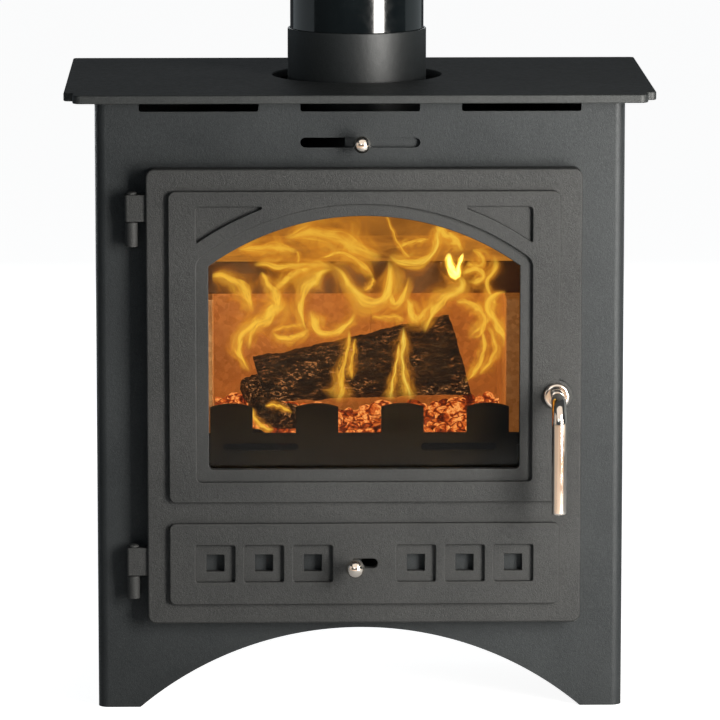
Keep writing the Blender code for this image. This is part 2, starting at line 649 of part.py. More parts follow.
n = 0
for x in (-163, 163):
    for z in (262, 408):
        n += 1
        s = -1 if x < 0 else 1
        x_in, x_out = DOOR_X + x - s * 15.0, DOOR_X + x + s * 4.2
        finish(plate("glass_clip_%d" % n, "XZ",
                     [rect(min(x_in, x_out), max(x_in, x_out), z - 9, z + 9, 2, 2),
                      circle(DOOR_X + x, z, 1.9, 10)], GLASS_BACK + GAP, GLASS_BACK + GAP + 1.5), "zinc_steel")
        finish(turned("clip_screw_%d" % n, "Y", (DOOR_X + x, z),
                      [(0, -10.8), (1.5, -10.8), (1.5, -3.5), (3.2, -3.5), (3.2, -2.4), (2.4, -1.6), (0, -1.6)][::-1],
                      10), "zinc_steel", True)

for side, s in (("upper", 1), ("lower", -1)):
    z = VENT_SQ_Z
    y = DOOR_BASE_BACK + GAP
    pts = [(y, z + s * 13.5), (y, z + s * 18.0), (-7.4, z + s * 18.0), (-7.4, z + s * 9.5),
           (-9.3, z + s * 9.5), (-9.3, z + s * 13.5)]
    finish(plate("primary_guide_" + side, "YZ", [pts], DOOR_X - 158.0, DOOR_X + 166.0), "black_steel")

# At rest the plate shuts the vents. Slid to the right, its end clears the first vent and its holes meet the others.
slider_holes = [rect(DOOR_X + x - PRIMARY_TRAVEL - 8.8, DOOR_X + x - PRIMARY_TRAVEL + 8.8, VENT_SQ_Z - 8.4,
                     VENT_SQ_Z + 8.4) for x in VENT_SQ_XS[1:]]
slider_holes.append(slot(DOOR_X + 6.4, VENT_SQ_Z, 9.4, 5.4, 4))
finish(plate("primary_slider", "XZ",
             [rect(DOOR_X - 150.3, DOOR_X + 150.2, VENT_SQ_Z - 13.0, VENT_SQ_Z + 13.0)] + slider_holes
             + [circle(DOOR_X + PRIMARY_REST_X, VENT_SQ_Z, 2.6, 12)],
             DOOR_BASE_BACK + GAP, DOOR_BASE_BACK + GAP + 2.0), "zinc_steel")
finish(turned("primary_knob", "Y", (DOOR_X + PRIMARY_REST_X, VENT_SQ_Z),
              knob_profile(PRIMARY_KNOB_Y, PRIMARY_KNOB_R, 3.4, -13.0, 2.2, -6.5)[::-1], 20), "chrome", True)

# --------------------------------------------------------------------- handle
finish(turned("handle_rosette", "Y", (HANDLE_X, HANDLE_Z),
              [(5.5, -25.45), (12.5, -25.45), (12.5, -28.4), (11.7, -30.2), (10.0, -31.0), (5.5, -31.0)],
              24, True), "chrome", True)
bar = [(HANDLE_X, -31.3, HANDLE_Z), (HANDLE_X, HANDLE_REACH_Y + HANDLE_BEND, HANDLE_Z)]
bar += [(HANDLE_X, HANDLE_REACH_Y + HANDLE_BEND - HANDLE_BEND * math.sin(math.radians(t)),
         HANDLE_Z - HANDLE_BEND + HANDLE_BEND * math.cos(math.radians(t))) for t in (18, 36, 54, 72, 90)]
bar += [(HANDLE_X, HANDLE_REACH_Y, HANDLE_END_Z)]
finish(rod("handle_bar", bar, HANDLE_R, 4), "chrome", True)
finish(turned("handle_spindle", "Y", (HANDLE_X, HANDLE_Z),
              [(0, -31.0), (4.9, -31.0), (4.9, -8.0), (2.6, -8.0), (2.6, -1.6), (0, -1.6)][::-1], 16),
       "zinc_steel", True)


def cam_outline():
    """A round hub with a straight-sided tongue pointing down."""
    r = 5.2
    hub = arc(HANDLE_X, HANDLE_Z, r, -50, 230, 14)
    return hub + [(HANDLE_X - 3.4, HANDLE_Z - 13.2), (HANDLE_X - 2.0, HANDLE_Z - 14.0),
                  (HANDLE_X + 2.0, HANDLE_Z - 14.0), (HANDLE_X + 3.4, HANDLE_Z - 13.2)]


finish(plate("latch_cam", "XZ", [cam_outline(), circle(HANDLE_X, HANDLE_Z, 2.9, 16)], -7.7, -4.0),
       "zinc_steel")
finish(plate("spindle_nut", "XZ", [circle(HANDLE_X, HANDLE_Z, 5.1, 6), circle(HANDLE_X, HANDLE_Z, 2.9, 16)],
             -3.7, -1.2), "zinc_steel")


# ------------------------------------------------------- pivots of the motions
def pivot(name, x, y, z, children):
    """An empty on a joint's axis, carrying the pieces that move with it."""
    empty = bpy.data.objects.new(name, None)
    PARTS.objects.link(empty)
    empty.location = to_world((x, y, z))
    empty.empty_display_size = 0.03
    bpy.context.view_layer.update()
    for child in children:
        ob = bpy.data.objects[child]
        keep = ob.matrix_world.copy()
        ob.parent = empty
        ob.matrix_parent_inverse = empty.matrix_world.inverted()
        ob.matrix_world = keep
    return empty


DOOR_NODES = (["door_casting", "door_rope_seal", "glass_gasket", "door_glass",
               "primary_guide_upper", "primary_guide_lower", "handle_rosette"]
              + ["glass_clip_%d" % k for k in range(1, 5)] + ["clip_screw_%d" % k for k in range(1, 5)])
door_pivot = pivot("door_pivot", HINGE_X, HINGE_Y, 300.0, DOOR_NODES)
handle_pivot = pivot("handle_pivot", HANDLE_X, -30.0, HANDLE_Z,
                     ["handle_bar", "handle_spindle", "latch_cam", "spindle_nut"])
primary_pivot = pivot("primary_air_pivot", DOOR_X + PRIMARY_REST_X, PRIMARY_KNOB_Y, VENT_SQ_Z,
                      ["primary_slider", "primary_knob"])
for inner in (handle_pivot, primary_pivot):
    keep = inner.matrix_world.copy()
    inner.parent = door_pivot
    inner.matrix_parent_inverse = door_pivot.matrix_world.inverted()
    inner.matrix_world = keep
pivot("airwash_pivot", AIRWASH_KNOB_X, AIRWASH_KNOB_Y, AIRWASH_Z, ["airwash_slider", "airwash_knob"])
pivot("log_guard_pivot", 0.0, GUARD_Y0, 192.2, ["log_guard"])
bpy.context.view_layer.update()
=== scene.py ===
"""The looks of the wood burning stove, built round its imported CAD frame.

Every position below is in millimetres in the design frame: X to the right, Y to
the back from the casing's front face, Z up from the floor. D() turns them into
metres in the frame's own axes, from where the casing really is.
"""
import json
import math
import random

import bmesh
import bpy
from mathutils import Matrix, Vector, noise

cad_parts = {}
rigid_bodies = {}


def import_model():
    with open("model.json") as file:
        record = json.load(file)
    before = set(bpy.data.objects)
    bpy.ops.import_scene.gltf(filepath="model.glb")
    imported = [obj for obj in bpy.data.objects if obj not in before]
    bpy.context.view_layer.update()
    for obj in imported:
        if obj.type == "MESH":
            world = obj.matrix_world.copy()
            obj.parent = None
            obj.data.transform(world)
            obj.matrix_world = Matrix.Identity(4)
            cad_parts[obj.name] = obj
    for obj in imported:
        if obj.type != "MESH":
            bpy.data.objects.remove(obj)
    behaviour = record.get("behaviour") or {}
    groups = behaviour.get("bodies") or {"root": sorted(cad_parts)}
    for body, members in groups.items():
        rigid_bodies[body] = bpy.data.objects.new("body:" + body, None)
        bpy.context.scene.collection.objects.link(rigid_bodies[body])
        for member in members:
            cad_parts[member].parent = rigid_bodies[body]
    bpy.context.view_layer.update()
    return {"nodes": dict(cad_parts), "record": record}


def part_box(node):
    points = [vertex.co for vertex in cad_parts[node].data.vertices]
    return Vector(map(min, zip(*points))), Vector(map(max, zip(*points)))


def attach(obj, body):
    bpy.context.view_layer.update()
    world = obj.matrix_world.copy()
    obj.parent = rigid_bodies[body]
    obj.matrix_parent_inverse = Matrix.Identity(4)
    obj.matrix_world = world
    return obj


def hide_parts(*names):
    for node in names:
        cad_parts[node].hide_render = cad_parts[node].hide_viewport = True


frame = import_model()
FRONT = float(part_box("body_casing")[0][1])
MM = 0.001


def D(x, y, z):
    return Vector((x * MM, FRONT + y * MM, z * MM))


# ------------------------------------------------------------------ materials
class Mat:
    """A Principled material and short calls for the nodes that feed it."""

    def __init__(self, name, **sockets):
        self.m = bpy.data.materials.new(name)
        self.m.use_nodes = True
        self.nt = self.m.node_tree
        self.b = self.nt.nodes["Principled BSDF"]
        self.co = self.nt.nodes.new("ShaderNodeTexCoord").outputs["Object"]
        self.set(**sockets)

    def set(self, **sockets):
        for key, value in sockets.items():
            self.b.inputs[key.replace("_", " ")].default_value = value
        return self

    def link(self, out, socket):
        self.nt.links.new(out, self.b.inputs[socket] if isinstance(socket, str) else socket)

    def scaled(self, sx, sy, sz, rot=(0, 0, 0), src=None):
        n = self.nt.nodes.new("ShaderNodeMapping")
        n.inputs["Scale"].default_value = (sx, sy, sz)
        n.inputs["Rotation"].default_value = rot
        self.nt.links.new(src or self.co, n.inputs["Vector"])
        return n.outputs[0]

    def noise(self, scale, detail=3.0, rough=0.55, distort=0.0, src=None, colour=False, lac=2.0):
        n = self.nt.nodes.new("ShaderNodeTexNoise")
        n.inputs["Scale"].default_value = scale
        n.inputs["Detail"].default_value = detail
        n.inputs["Roughness"].default_value = rough
        n.inputs["Distortion"].default_value = distort
        n.inputs["Lacunarity"].default_value = lac
        self.nt.links.new(src or self.co, n.inputs["Vector"])
        return n.outputs["Color" if colour else "Fac"]

    def voronoi(self, scale, feature="F1", src=None, out="Distance", random_=1.0):
        n = self.nt.nodes.new("ShaderNodeTexVoronoi")
        n.feature = feature
        n.inputs["Scale"].default_value = scale
        n.inputs["Randomness"].default_value = random_
        self.nt.links.new(src or self.co, n.inputs["Vector"])
        return n.outputs[out]

    def ramp(self, fac, stops, mode="LINEAR"):
        n = self.nt.nodes.new("ShaderNodeValToRGB")
        n.color_ramp.interpolation = mode
        el = n.color_ramp.elements
        while len(el) < len(stops):
            el.new(0.5)
        for e, (pos, col) in zip(el, stops):
            e.position = pos
            e.color = (*col, 1.0) if len(col) == 3 else col
        self.nt.links.new(fac, n.inputs["Fac"])
        return n.outputs["Color"]

    def remap(self, v, a, b, c, d, smooth=False):
        n = self.nt.nodes.new("ShaderNodeMapRange")
        n.interpolation_type = "SMOOTHSTEP" if smooth else "LINEAR"
        for key, value in zip(("From Min", "From Max", "To Min", "To Max"), (a, b, c, d)):
            n.inputs[key].default_value = value
        self.nt.links.new(v, n.inputs["Value"])
        return n.outputs["Result"]

    def math(self, op, a, b=None, c=None):
        n = self.nt.nodes.new("ShaderNodeMath")
        n.operation = op
        for i, v in enumerate((a, b, c)):
            if v is None:
                continue
            if isinstance(v, (int, float)):
                n.inputs[i].default_value = v
            else:
                self.nt.links.new(v, n.inputs[i])
        return n.outputs[0]

    def mix(self, fac, a, b, blend="MIX"):
        n = self.nt.nodes.new("ShaderNodeMix")
        n.data_type = "RGBA"
        n.blend_type = blend
        if isinstance(fac, (int, float)):
            n.inputs["Factor"].default_value = fac
        else:
            self.nt.links.new(fac, n.inputs["Factor"])
        for i, v in ((6, a), (7, b)):
            if isinstance(v, tuple):
                n.inputs[i].default_value = (*v, 1.0)
            else:
                self.nt.links.new(v, n.inputs[i])
        return n.outputs[2]

    def warp(self, amount, scale, src=None, detail=1.0):
        """The coordinates pushed about by a slow noise."""
        src = src or self.co
        c = self.noise(scale, detail, src=src, colour=True)
        n = self.nt.nodes.new("ShaderNodeVectorMath")
        n.operation = "SUBTRACT"
        self.nt.links.new(c, n.inputs[0])
        n.inputs[1].default_value = (0.5, 0.5, 0.5)
        k = self.nt.nodes.new("ShaderNodeVectorMath")
        k.operation = "SCALE"
        k.inputs["Scale"].default_value = amount
        self.nt.links.new(n.outputs[0], k.inputs[0])
        s = self.nt.nodes.new("ShaderNodeVectorMath")
        s.operation = "ADD"
        self.nt.links.new(src, s.inputs[0])
        self.nt.links.new(k.outputs[0], s.inputs[1])
        return s.outputs[0]

    def axis(self, which, src=None):
        n = self.nt.nodes.new("ShaderNodeSeparateXYZ")
        self.nt.links.new(src or self.co, n.inputs[0])
        return n.outputs[which]

    def bump(self, height, distance, strength=1.0, normal=None):
        n = self.nt.nodes.new("ShaderNodeBump")
        n.inputs["Strength"].default_value = strength
        n.inputs["Distance"].default_value = distance
        self.nt.links.new(height, n.inputs["Height"])
        if normal is not None:
            self.nt.links.new(normal, n.inputs["Normal"])
        return n.outputs["Normal"]


def paint(name, dark, light, grain, grain_depth, cast_depth, rough=(0.42, 0.62), metallic=0.35, fleck=0.5):
    """Matt metallic stove paint: fine grain, slow patches and small bright flecks."""
    k = Mat(name, Metallic=metallic)
    fine = k.noise(grain, 5.0, 0.65)
    mid = k.noise(grain * 0.22, 3.0, 0.6)
    slow = k.noise(9.0, 4.0, 0.6, 0.4)
    col = k.ramp(k.math("ADD", k.math("MULTIPLY", fine, 0.62), k.math("MULTIPLY", slow, 0.38)),
                 [(0.32, dark), (0.66, light)])
    flecks = k.remap(k.noise(grain * 2.1, 2.0, 0.7), 0.60, 0.74, 0.0, fleck)
    col = k.mix(flecks, col, tuple(min(1.0, c * 2.6) for c in light))
    k.link(col, "Base Color")
    k.link(k.remap(k.math("ADD", k.math("MULTIPLY", mid, 0.6), k.math("MULTIPLY", slow, 0.4)),
                   0.3, 0.7, rough[0], rough[1]), "Roughness")
    n1 = k.bump(mid, cast_depth, 0.9)
    n2 = k.bump(fine, grain_depth, 0.9, n1)
    k.link(n2, "Normal")
    return k.m


M = {}
M["cast"] = paint("door_cast_paint", (0.019, 0.0205, 0.0205), (0.060, 0.0610, 0.0600), 1000.0, 0.00055, 0.00036,
                  (0.46, 0.66), 0.30, 0.60)
M["sheet"] = paint("casing_paint", (0.0170, 0.0200, 0.0220), (0.0430, 0.0480, 0.0500), 1000.0, 0.00026, 0.00014,
                   (0.44, 0.58), 0.35, 0.22)
M["plate"] = paint("top_plate_paint", (0.029, 0.032, 0.032), (0.062, 0.066, 0.066), 820.0, 0.00020, 0.00016,
                   (0.44, 0.60), 0.30, 0.22)
M["collar"] = paint("collar_paint", (0.013, 0.0155, 0.0165), (0.028, 0.0325, 0.0340), 760.0, 0.00012, 0.00014,
                    (0.45, 0.53), 0.30, 0.10)
M["collar"].node_tree.nodes["Principled BSDF"].inputs["Specular IOR Level"].default_value = 0.9
M["black"] = paint("black_steel_paint", (0.014, 0.013, 0.012), (0.030, 0.028, 0.026), 800.0, 0.00018, 0.00015,
                   (0.50, 0.68), 0.2, 0.10)


def enamel():
    k = Mat("flue_gloss_enamel", Base_Color=(0.006, 0.006, 0.0065, 1), Coat_Weight=1.0, Coat_Roughness=0.04)
    slow = k.noise(22.0, 2.0, 0.5)
    peel = k.noise(260.0, 2.0, 0.5)
    k.link(k.ramp(slow, [(0.3, (0.0035, 0.0055, 0.0065)), (0.7, (0.007, 0.010, 0.011))]), "Base Color")
    k.link(k.remap(k.noise(120.0, 3.0), 0.3, 0.7, 0.10, 0.22), "Roughness")
    k.link(k.bump(peel, 0.00005, 0.5, k.bump(slow, 0.0006, 0.5)), "Normal")
    return k.m


def chrome(name, low=0.03, high=0.11, tint=(0.86, 0.85, 0.83)):
    k = Mat(name, Metallic=1.0)
    smear = k.noise(60.0, 5.0, 0.65, 0.6)
    k.link(k.remap(smear, 0.35, 0.7, low, high), "Roughness")
    k.link(k.ramp(smear, [(0.3, tuple(c * 0.93 for c in tint)), (0.7, tint)]), "Base Color")
    k.link(k.bump(k.noise(35.0, 2.0), 0.00008, 0.4), "Normal")
    return k.m


def plated():
    k = Mat("zinc_plated_steel", Metallic=1.0)
    grain = k.noise(1.0, 4.0, 0.6, src=k.scaled(1800, 160, 160))
    patch = k.noise(45.0, 4.0, 0.6, 0.5)
    k.link(k.ramp(patch, [(0.25, (0.30, 0.29, 0.27)), (0.75, (0.56, 0.55, 0.53))]), "Base Color")
    k.link(k.remap(grain, 0.3, 0.7, 0.28, 0.48), "Roughness")
    k.link(k.bump(grain, 0.00006, 0.6), "Normal")
    return k.m


def brick():
    """Pressed vermiculite, flakes and pits; the fire's warm light on it is painted in as a glow, and the pits are
    painted dark as shade.
    """
    k = Mat("firebrick_vermiculite", Roughness=0.95)
    flakes = k.voronoi(210.0, out="Color")
    sep = k.nt.nodes.new("ShaderNodeSeparateColor")
    k.nt.links.new(flakes, sep.inputs[0])
    soot = k.noise(14.0, 4.0, 0.6, 0.5)
    base = k.ramp(sep.outputs[0], [(0.0, (0.34, 0.20, 0.085)), (1.0, (0.56, 0.37, 0.18))])
    base = k.mix(k.remap(soot, 0.45, 0.75, 0.0, 0.55), base, (0.20, 0.10, 0.05))
    # painted shade: the pits are darkened in colour here and in the painted glow below
    pits = k.remap(k.voronoi(26.0), 0.0, 0.075, 1.0, 0.0)
    base = k.mix(k.math("MULTIPLY", pits, 0.85), base, (0.05, 0.02, 0.01))
    k.link(base, "Base Color")
    # painted firelight: this emission stands in for the fire's light on the bricks
    glow = k.mix(k.remap(soot, 0.4, 0.75, 0.0, 0.5), (0.46, 0.150, 0.022), (0.27, 0.075, 0.010))
    glow = k.mix(k.math("MULTIPLY", pits, 0.8), glow, (0.03, 0.006, 0.001))
    k.link(glow, "Emission Color")
    k.set(Emission_Strength=0.33)
    k.link(k.bump(sep.outputs[1], 0.0005, 0.6, k.bump(k.noise(60.0, 4.0), 0.001, 0.5)), "Normal")
    return k.m


def rope():
    """Knitted glass-fibre rope: crossing diagonal strands."""
    k = Mat("glass_fibre_rope", Roughness=0.95, Sheen_Weight=0.25, Sheen_Roughness=0.6)
    w1 = k.nt.nodes.new("ShaderNodeTexWave")
    w2 = k.nt.nodes.new("ShaderNodeTexWave")
    for w, r in ((w1, 0.8), (w2, -0.8)):
        w.inputs["Scale"].default_value = 95.0
        w.inputs["Distortion"].default_value = 1.2
        w.inputs["Detail"].default_value = 2.0
        k.nt.links.new(k.scaled(1, 1, 1, (r, 0.3, r)), w.inputs["Vector"])
    weave = k.math("MAXIMUM", w1.outputs["Fac"], w2.outputs["Fac"])
    k.link(k.ramp(k.math("MULTIPLY", weave, k.remap(k.noise(300.0), 0.3, 0.7, 0.8, 1.1)),
                  [(0.1, (0.05, 0.048, 0.045)), (0.9, (0.22, 0.215, 0.205))]), "Base Color")
    k.link(k.bump(weave, 0.0010, 0.8), "Normal")
    return k.m


def glass():
    k = Mat("heatproof_glass", Transmission_Weight=1.0, IOR=1.45)
    haze = k.noise(7.0, 4.0, 0.6, 0.8)
    low = k.remap(k.axis(2), 0.235, 0.300, 0.05, 0.0, True)
    k.link(k.math("ADD", k.remap(haze, 0.4, 0.8, 0.0, 0.03), low), "Roughness")
    k.link(k.ramp(haze, [(0.3, (1.0, 0.97, 0.92)), (0.8, (0.97, 0.91, 0.82))]), "Base Color")
    return k.m


M["enamel"] = enamel()
M["chrome"] = chrome("polished_nickel_chrome", 0.05, 0.14, (0.93, 0.86, 0.79))
M["plated"] = plated()
M["brick"] = brick()


def soot_and_painted_firelight(name, dark, painted_glow_low, painted_glow_high, first, last, strength):
    """Smoke-brown surface; the fire's light on its parts towards the back is painted in as a glow."""
    k = Mat(name, Roughness=0.95)
    soot = k.noise(16.0, 5.0, 0.6, 0.6)
    fine = k.noise(340.0, 3.0, 0.6)
    k.link(k.ramp(k.math("ADD", k.math("MULTIPLY", soot, 0.7), k.math("MULTIPLY", fine, 0.3)),
                  [(0.3, tuple(c * 0.45 for c in dark)), (0.7, dark)]), "Base Color")
    # painted firelight: emission colour and strength stand in for the fire's light on the surface
    k.link(k.ramp(soot, [(0.30, painted_glow_low), (0.68, painted_glow_high)]), "Emission Color")
    glow = k.math("MULTIPLY", k.remap(k.axis(1), first, last, 0.0, 1.0, True), strength)
    # the painted firelight stays inside the firebox and above the grate
    glow = k.math("MULTIPLY", glow, k.remap(k.axis(2), 0.195, 0.245, 0.0, 1.0, True))
    glow = k.math("MULTIPLY", glow, k.math("LESS_THAN", k.axis(2), 0.5009))
    glow = k.math("MULTIPLY", glow, k.math("LESS_THAN", k.math("ABSOLUTE", k.axis(0)), 0.1676))
    glow = k.math("MULTIPLY", glow, k.math("LESS_THAN", k.axis(1), 0.1412))
    k.link(glow, "Emission Strength")
    k.link(k.bump(fine, 0.0004, 0.6), "Normal")
    return k.m


M["baffle"] = soot_and_painted_firelight("baffle_vermiculite", (0.22, 0.115, 0.045), (0.24, 0.085, 0.012), (0.62, 0.25, 0.030),
                           -0.0398, -0.0380, 0.85)
M["hot_steel"] = soot_and_painted_firelight("fire_lit_steel", (0.05, 0.030, 0.016), (0.20, 0.070, 0.010), (0.52, 0.20, 0.026),
                              -0.085, 0.110, 0.85)
M["rope"] = rope()
M["glass"] = glass()

SLOT_MATERIAL = {"casing_paint": "sheet", "door_paint": "cast", "collar_iron": "collar", "flue_enamel": "enamel",
                 "chrome": "chrome", "plated_steel": "plated", "black_steel": "black", "firebrick": "brick",
                 "door_glass": "glass", "fibre_rope": "rope"}


def dress(ob, material):
    ob.data.materials.clear()
    ob.data.materials.append(material)


SLOT_OF = {s["node"]: s["material_slot"] for s in frame["record"]["subparts"]}
for node, ob in frame["nodes"].items():
    dress(ob, M[SLOT_MATERIAL[SLOT_OF[node]]])
for node in ("primary_slider", "airwash_slider"):
    dress(frame["nodes"][node], M["sheet"])
# the baffle and the firebox walls carry painted firelight
dress(frame["nodes"]["baffle_board"], M["baffle"])
for node in ("firebox_wall_left", "firebox_wall_right", "firebox_back", "firebox_roof"):
    dress(frame["nodes"][node], M["hot_steel"])


# -------------------------------------------------------------------- outlines
def arc(cx, cy, r, a0, a1, n):
    return [(cx + r * math.cos(math.radians(a0 + (a1 - a0) * i / n)),
             cy + r * math.sin(math.radians(a0 + (a1 - a0) * i / n))) for i in range(n + 1)]


def circle(cx, cy, r, n=64):
    return [(cx + r * math.cos(2 * math.pi * i / n), cy + r * math.sin(2 * math.pi * i / n)) for i in range(n)]


def fillet(points, radii, seg=8):
    out = []
    count = len(points)
    if not isinstance(radii, (list, tuple)):
        radii = [radii] * count
    for i, corner in enumerate(points):
        r = radii[i]
        p = Vector(corner)
        if r <= 0:
            out.append(tuple(p))
            continue
        a = (Vector(points[i - 1]) - p).normalized()
        b = (Vector(points[(i + 1) % count]) - p).normalized()
        half = a.angle(b) / 2
        centre = p + (a + b).normalized() * (r / math.sin(half))
        start = p + a * (r / math.tan(half)) - centre
        end = p + b * (r / math.tan(half)) - centre
        a0 = math.atan2(start.y, start.x)
        turn = math.atan2(end.y, end.x) - a0
        while turn > math.pi:
            turn -= 2 * math.pi
        while turn < -math.pi:
            turn += 2 * math.pi
        out += [(centre.x + r * math.cos(a0 + turn * k / seg), centre.y + r * math.sin(a0 + turn * k / seg))
                for k in range(seg + 1)]
    return out


def rect(x0, x1, y0, y1, r=0.0, seg=8):
    return fillet([(x0, y0), (x1, y0), (x1, y1), (x0, y1)], r, seg)


def slot_outline(cx, cy, half, r, seg=12):
    return arc(cx + half - r, cy, r, -90, 90, seg) + arc(cx - half + r, cy, r, 90, 270, seg)


# ------------------------------------------------------------------ mesh tools
TURNS = {"XZ": Matrix.Rotation(math.pi / 2, 4, "X"), "XY": Matrix.Identity(4),
         "YZ": Matrix.Rotation(math.pi / 2, 4, "Z") @ Matrix.Rotation(math.pi / 2, 4, "X")}


def bake(ob, name=None):
    """The object's finished mesh, in the frame's axes, on an object at the origin."""
    name = name or ob.name
    bpy.context.view_layer.update()
    deps = bpy.context.evaluated_depsgraph_get()
    mesh = bpy.data.meshes.new_from_object(ob.evaluated_get(deps))
    mesh.transform(ob.matrix_world)
    bpy.data.objects.remove(ob, do_unlink=True)
    bm = bmesh.new()
    bm.from_mesh(mesh)
    bmesh.ops.remove_doubles(bm, verts=bm.verts, dist=0.000003)
    bmesh.ops.dissolve_degenerate(bm, edges=bm.edges, dist=0.000002)
    bmesh.ops.recalc_face_normals(bm, faces=bm.faces)
    bm.to_mesh(mesh)
    bm.free()
    out = bpy.data.objects.new(name, mesh)
    mesh.name = name
    bpy.context.scene.collection.objects.link(out)
    return out


def plate(name, plane, outlines, low, high, bevel=0.0, res=3):
    """A flat outline with holes, extruded from low to high, its edges rounded."""
    curve = bpy.data.curves.new(name, "CURVE")
    curve.dimensions = "2D"
    curve.fill_mode = "BOTH"
    curve.extrude = ((high - low) / 2 - bevel) * MM
    curve.bevel_depth = bevel * MM
    curve.bevel_resolution = res
    curve.offset = -bevel * MM
    for outline in outlines:
        spline = curve.splines.new("POLY")
        spline.points.add(len(outline) - 1)
        for point, (u, v) in zip(spline.points, outline):
            point.co = (u * MM, v * MM, 0.0, 1.0)
        spline.use_cyclic_u = True
    ob = bpy.data.objects.new(name, curve)
    bpy.context.scene.collection.objects.link(ob)
    mid = (low + high) / 2
    place = {"XZ": Vector((0, FRONT + mid * MM, 0)), "XY": Vector((0, FRONT, mid * MM)),
             "YZ": Vector((mid * MM, FRONT, 0))}[plane]
    ob.matrix_world = Matrix.Translation(place) @ TURNS[plane]
    return bake(ob)


def box_piece(name, x0, x1, y0, y1, z0, z1):
    mesh = bpy.data.meshes.new(name)
    bm = bmesh.new()
    bmesh.ops.create_cube(bm, size=1.0)
    bmesh.ops.scale(bm, verts=bm.verts, vec=((x1 - x0) * MM, (y1 - y0) * MM, (z1 - z0) * MM))
    bmesh.ops.translate(bm, verts=bm.verts, vec=D((x0 + x1) / 2, (y0 + y1) / 2, (z0 + z1) / 2))
    bm.to_mesh(mesh)
    bm.free()
    ob = bpy.data.objects.new(name, mesh)
    bpy.context.scene.collection.objects.link(ob)
    return ob


def turned(name, axis, centre, profile, steps=96, closed=False):
    mesh = bpy.data.meshes.new(name)
    verts = [(r * MM, 0.0, t * MM) for r, t in profile]
    edges = [(i, i + 1) for i in range(len(verts) - 1)] + ([(len(verts) - 1, 0)] if closed else [])
    mesh.from_pydata(verts, edges, [])
    ob = bpy.data.objects.new(name, mesh)
    bpy.context.scene.collection.objects.link(ob)
    screw = ob.modifiers.new("Screw", "SCREW")
    screw.axis, screw.angle, screw.steps, screw.render_steps = "Z", 2 * math.pi, steps, steps
    screw.use_merge_vertices, screw.merge_threshold = True, 0.000005
    if axis == "Z":
        ob.location = D(centre[0], centre[1], 0.0)
    else:
        ob.matrix_world = (Matrix.Translation(Vector((centre[0] * MM, FRONT, centre[1] * MM)))
                           @ Matrix.Rotation(-math.pi / 2, 4, "X"))
    return bake(ob)


def combine(target, others, operation, solver="MANIFOLD"):
    for other in others:
        mod = target.modifiers.new("Boolean", "BOOLEAN")
        mod.operation, mod.solver, mod.object = operation, solver, other
        bpy.context.view_layer.update()
        deps = bpy.context.evaluated_depsgraph_get()
        mesh = bpy.data.meshes.new_from_object(target.evaluated_get(deps))
        target.modifiers.clear()
        target.data = mesh
        bpy.data.objects.remove(other, do_unlink=True)
    return target


def bevelled(ob, width, segments=2, angle=35):
    mod = ob.modifiers.new("Bevel", "BEVEL")
    mod.width = width * MM
    mod.segments = segments
    mod.limit_method = "ANGLE"
    mod.angle_limit = math.radians(angle)
    mod.use_clamp_overlap = True
    mod.harden_normals = False
    return bake(ob)


def smooth(ob, angle=38):
    ob.data.shade_smooth()
    ob.data.set_sharp_from_angle(angle=math.radians(angle))
    mod = ob.modifiers.new("Flat faces stay flat", "WEIGHTED_NORMAL")
    mod.keep_sharp = True
    mod.weight = 100
    return ob


def piece(ob, body, material, nodes=()):
    dress(ob, material)
    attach(ob, body)
    if nodes:
        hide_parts(*nodes)
    return ob


# ------------------------------------------------------------- casing and top
def casing():
    c, i, d = 250.0, 246.0, 305.0
    outline = fillet([(-c, d), (-c, 0), (c, 0), (c, d), (c - 24, d), (c - 24, d - 4), (i, d - 4),
                      (i, 4), (-i, 4), (-i, d - 4), (-c + 24, d - 4), (-c + 24, d)],
                     [3, 10, 10, 3, 0, 0, 1, 6, 6, 1, 0, 0], 10)
    ob = plate("casing_shell", "XY", [outline], 0.0, 581.7)
    r = (210.0 ** 2 + 77.0 ** 2) / (2 * 77.0)
    a = math.degrees(math.asin(210.0 / r))
    arch = arc(0, 77.0 - r, r, 90 - a, 90 + a, 72) + [(-210, -10), (210, -10)]
    cuts = [rect(DX - 165, DX + 165, 112, 493, 6), arch, slot_outline(0, 542.6, 56.6, 4.8)]
    for x in (-152.0, 0.0, 152.0):
        cuts.append(fillet([(x - 56.3, 572), (x + 56.3, 572), (x + 56.3, 590), (x - 56.3, 590)], [2, 2, 0, 0], 5))
    holes = [circle(x, z, 2.4, 24) for x in (-237, 237) for z in (120, 540)]
    ob = combine(ob, [plate("cut_a", "XZ", cuts, -6.0, 12.0), plate("cut_b", "XZ", holes, 296.0, 309.0)],
                 "DIFFERENCE", "EXACT")
    return smooth(bevelled(ob, 0.7, 2, 50))


DX = 3.3      # middle of the door
piece(casing(), "stove", M["sheet"], ["body_casing"])

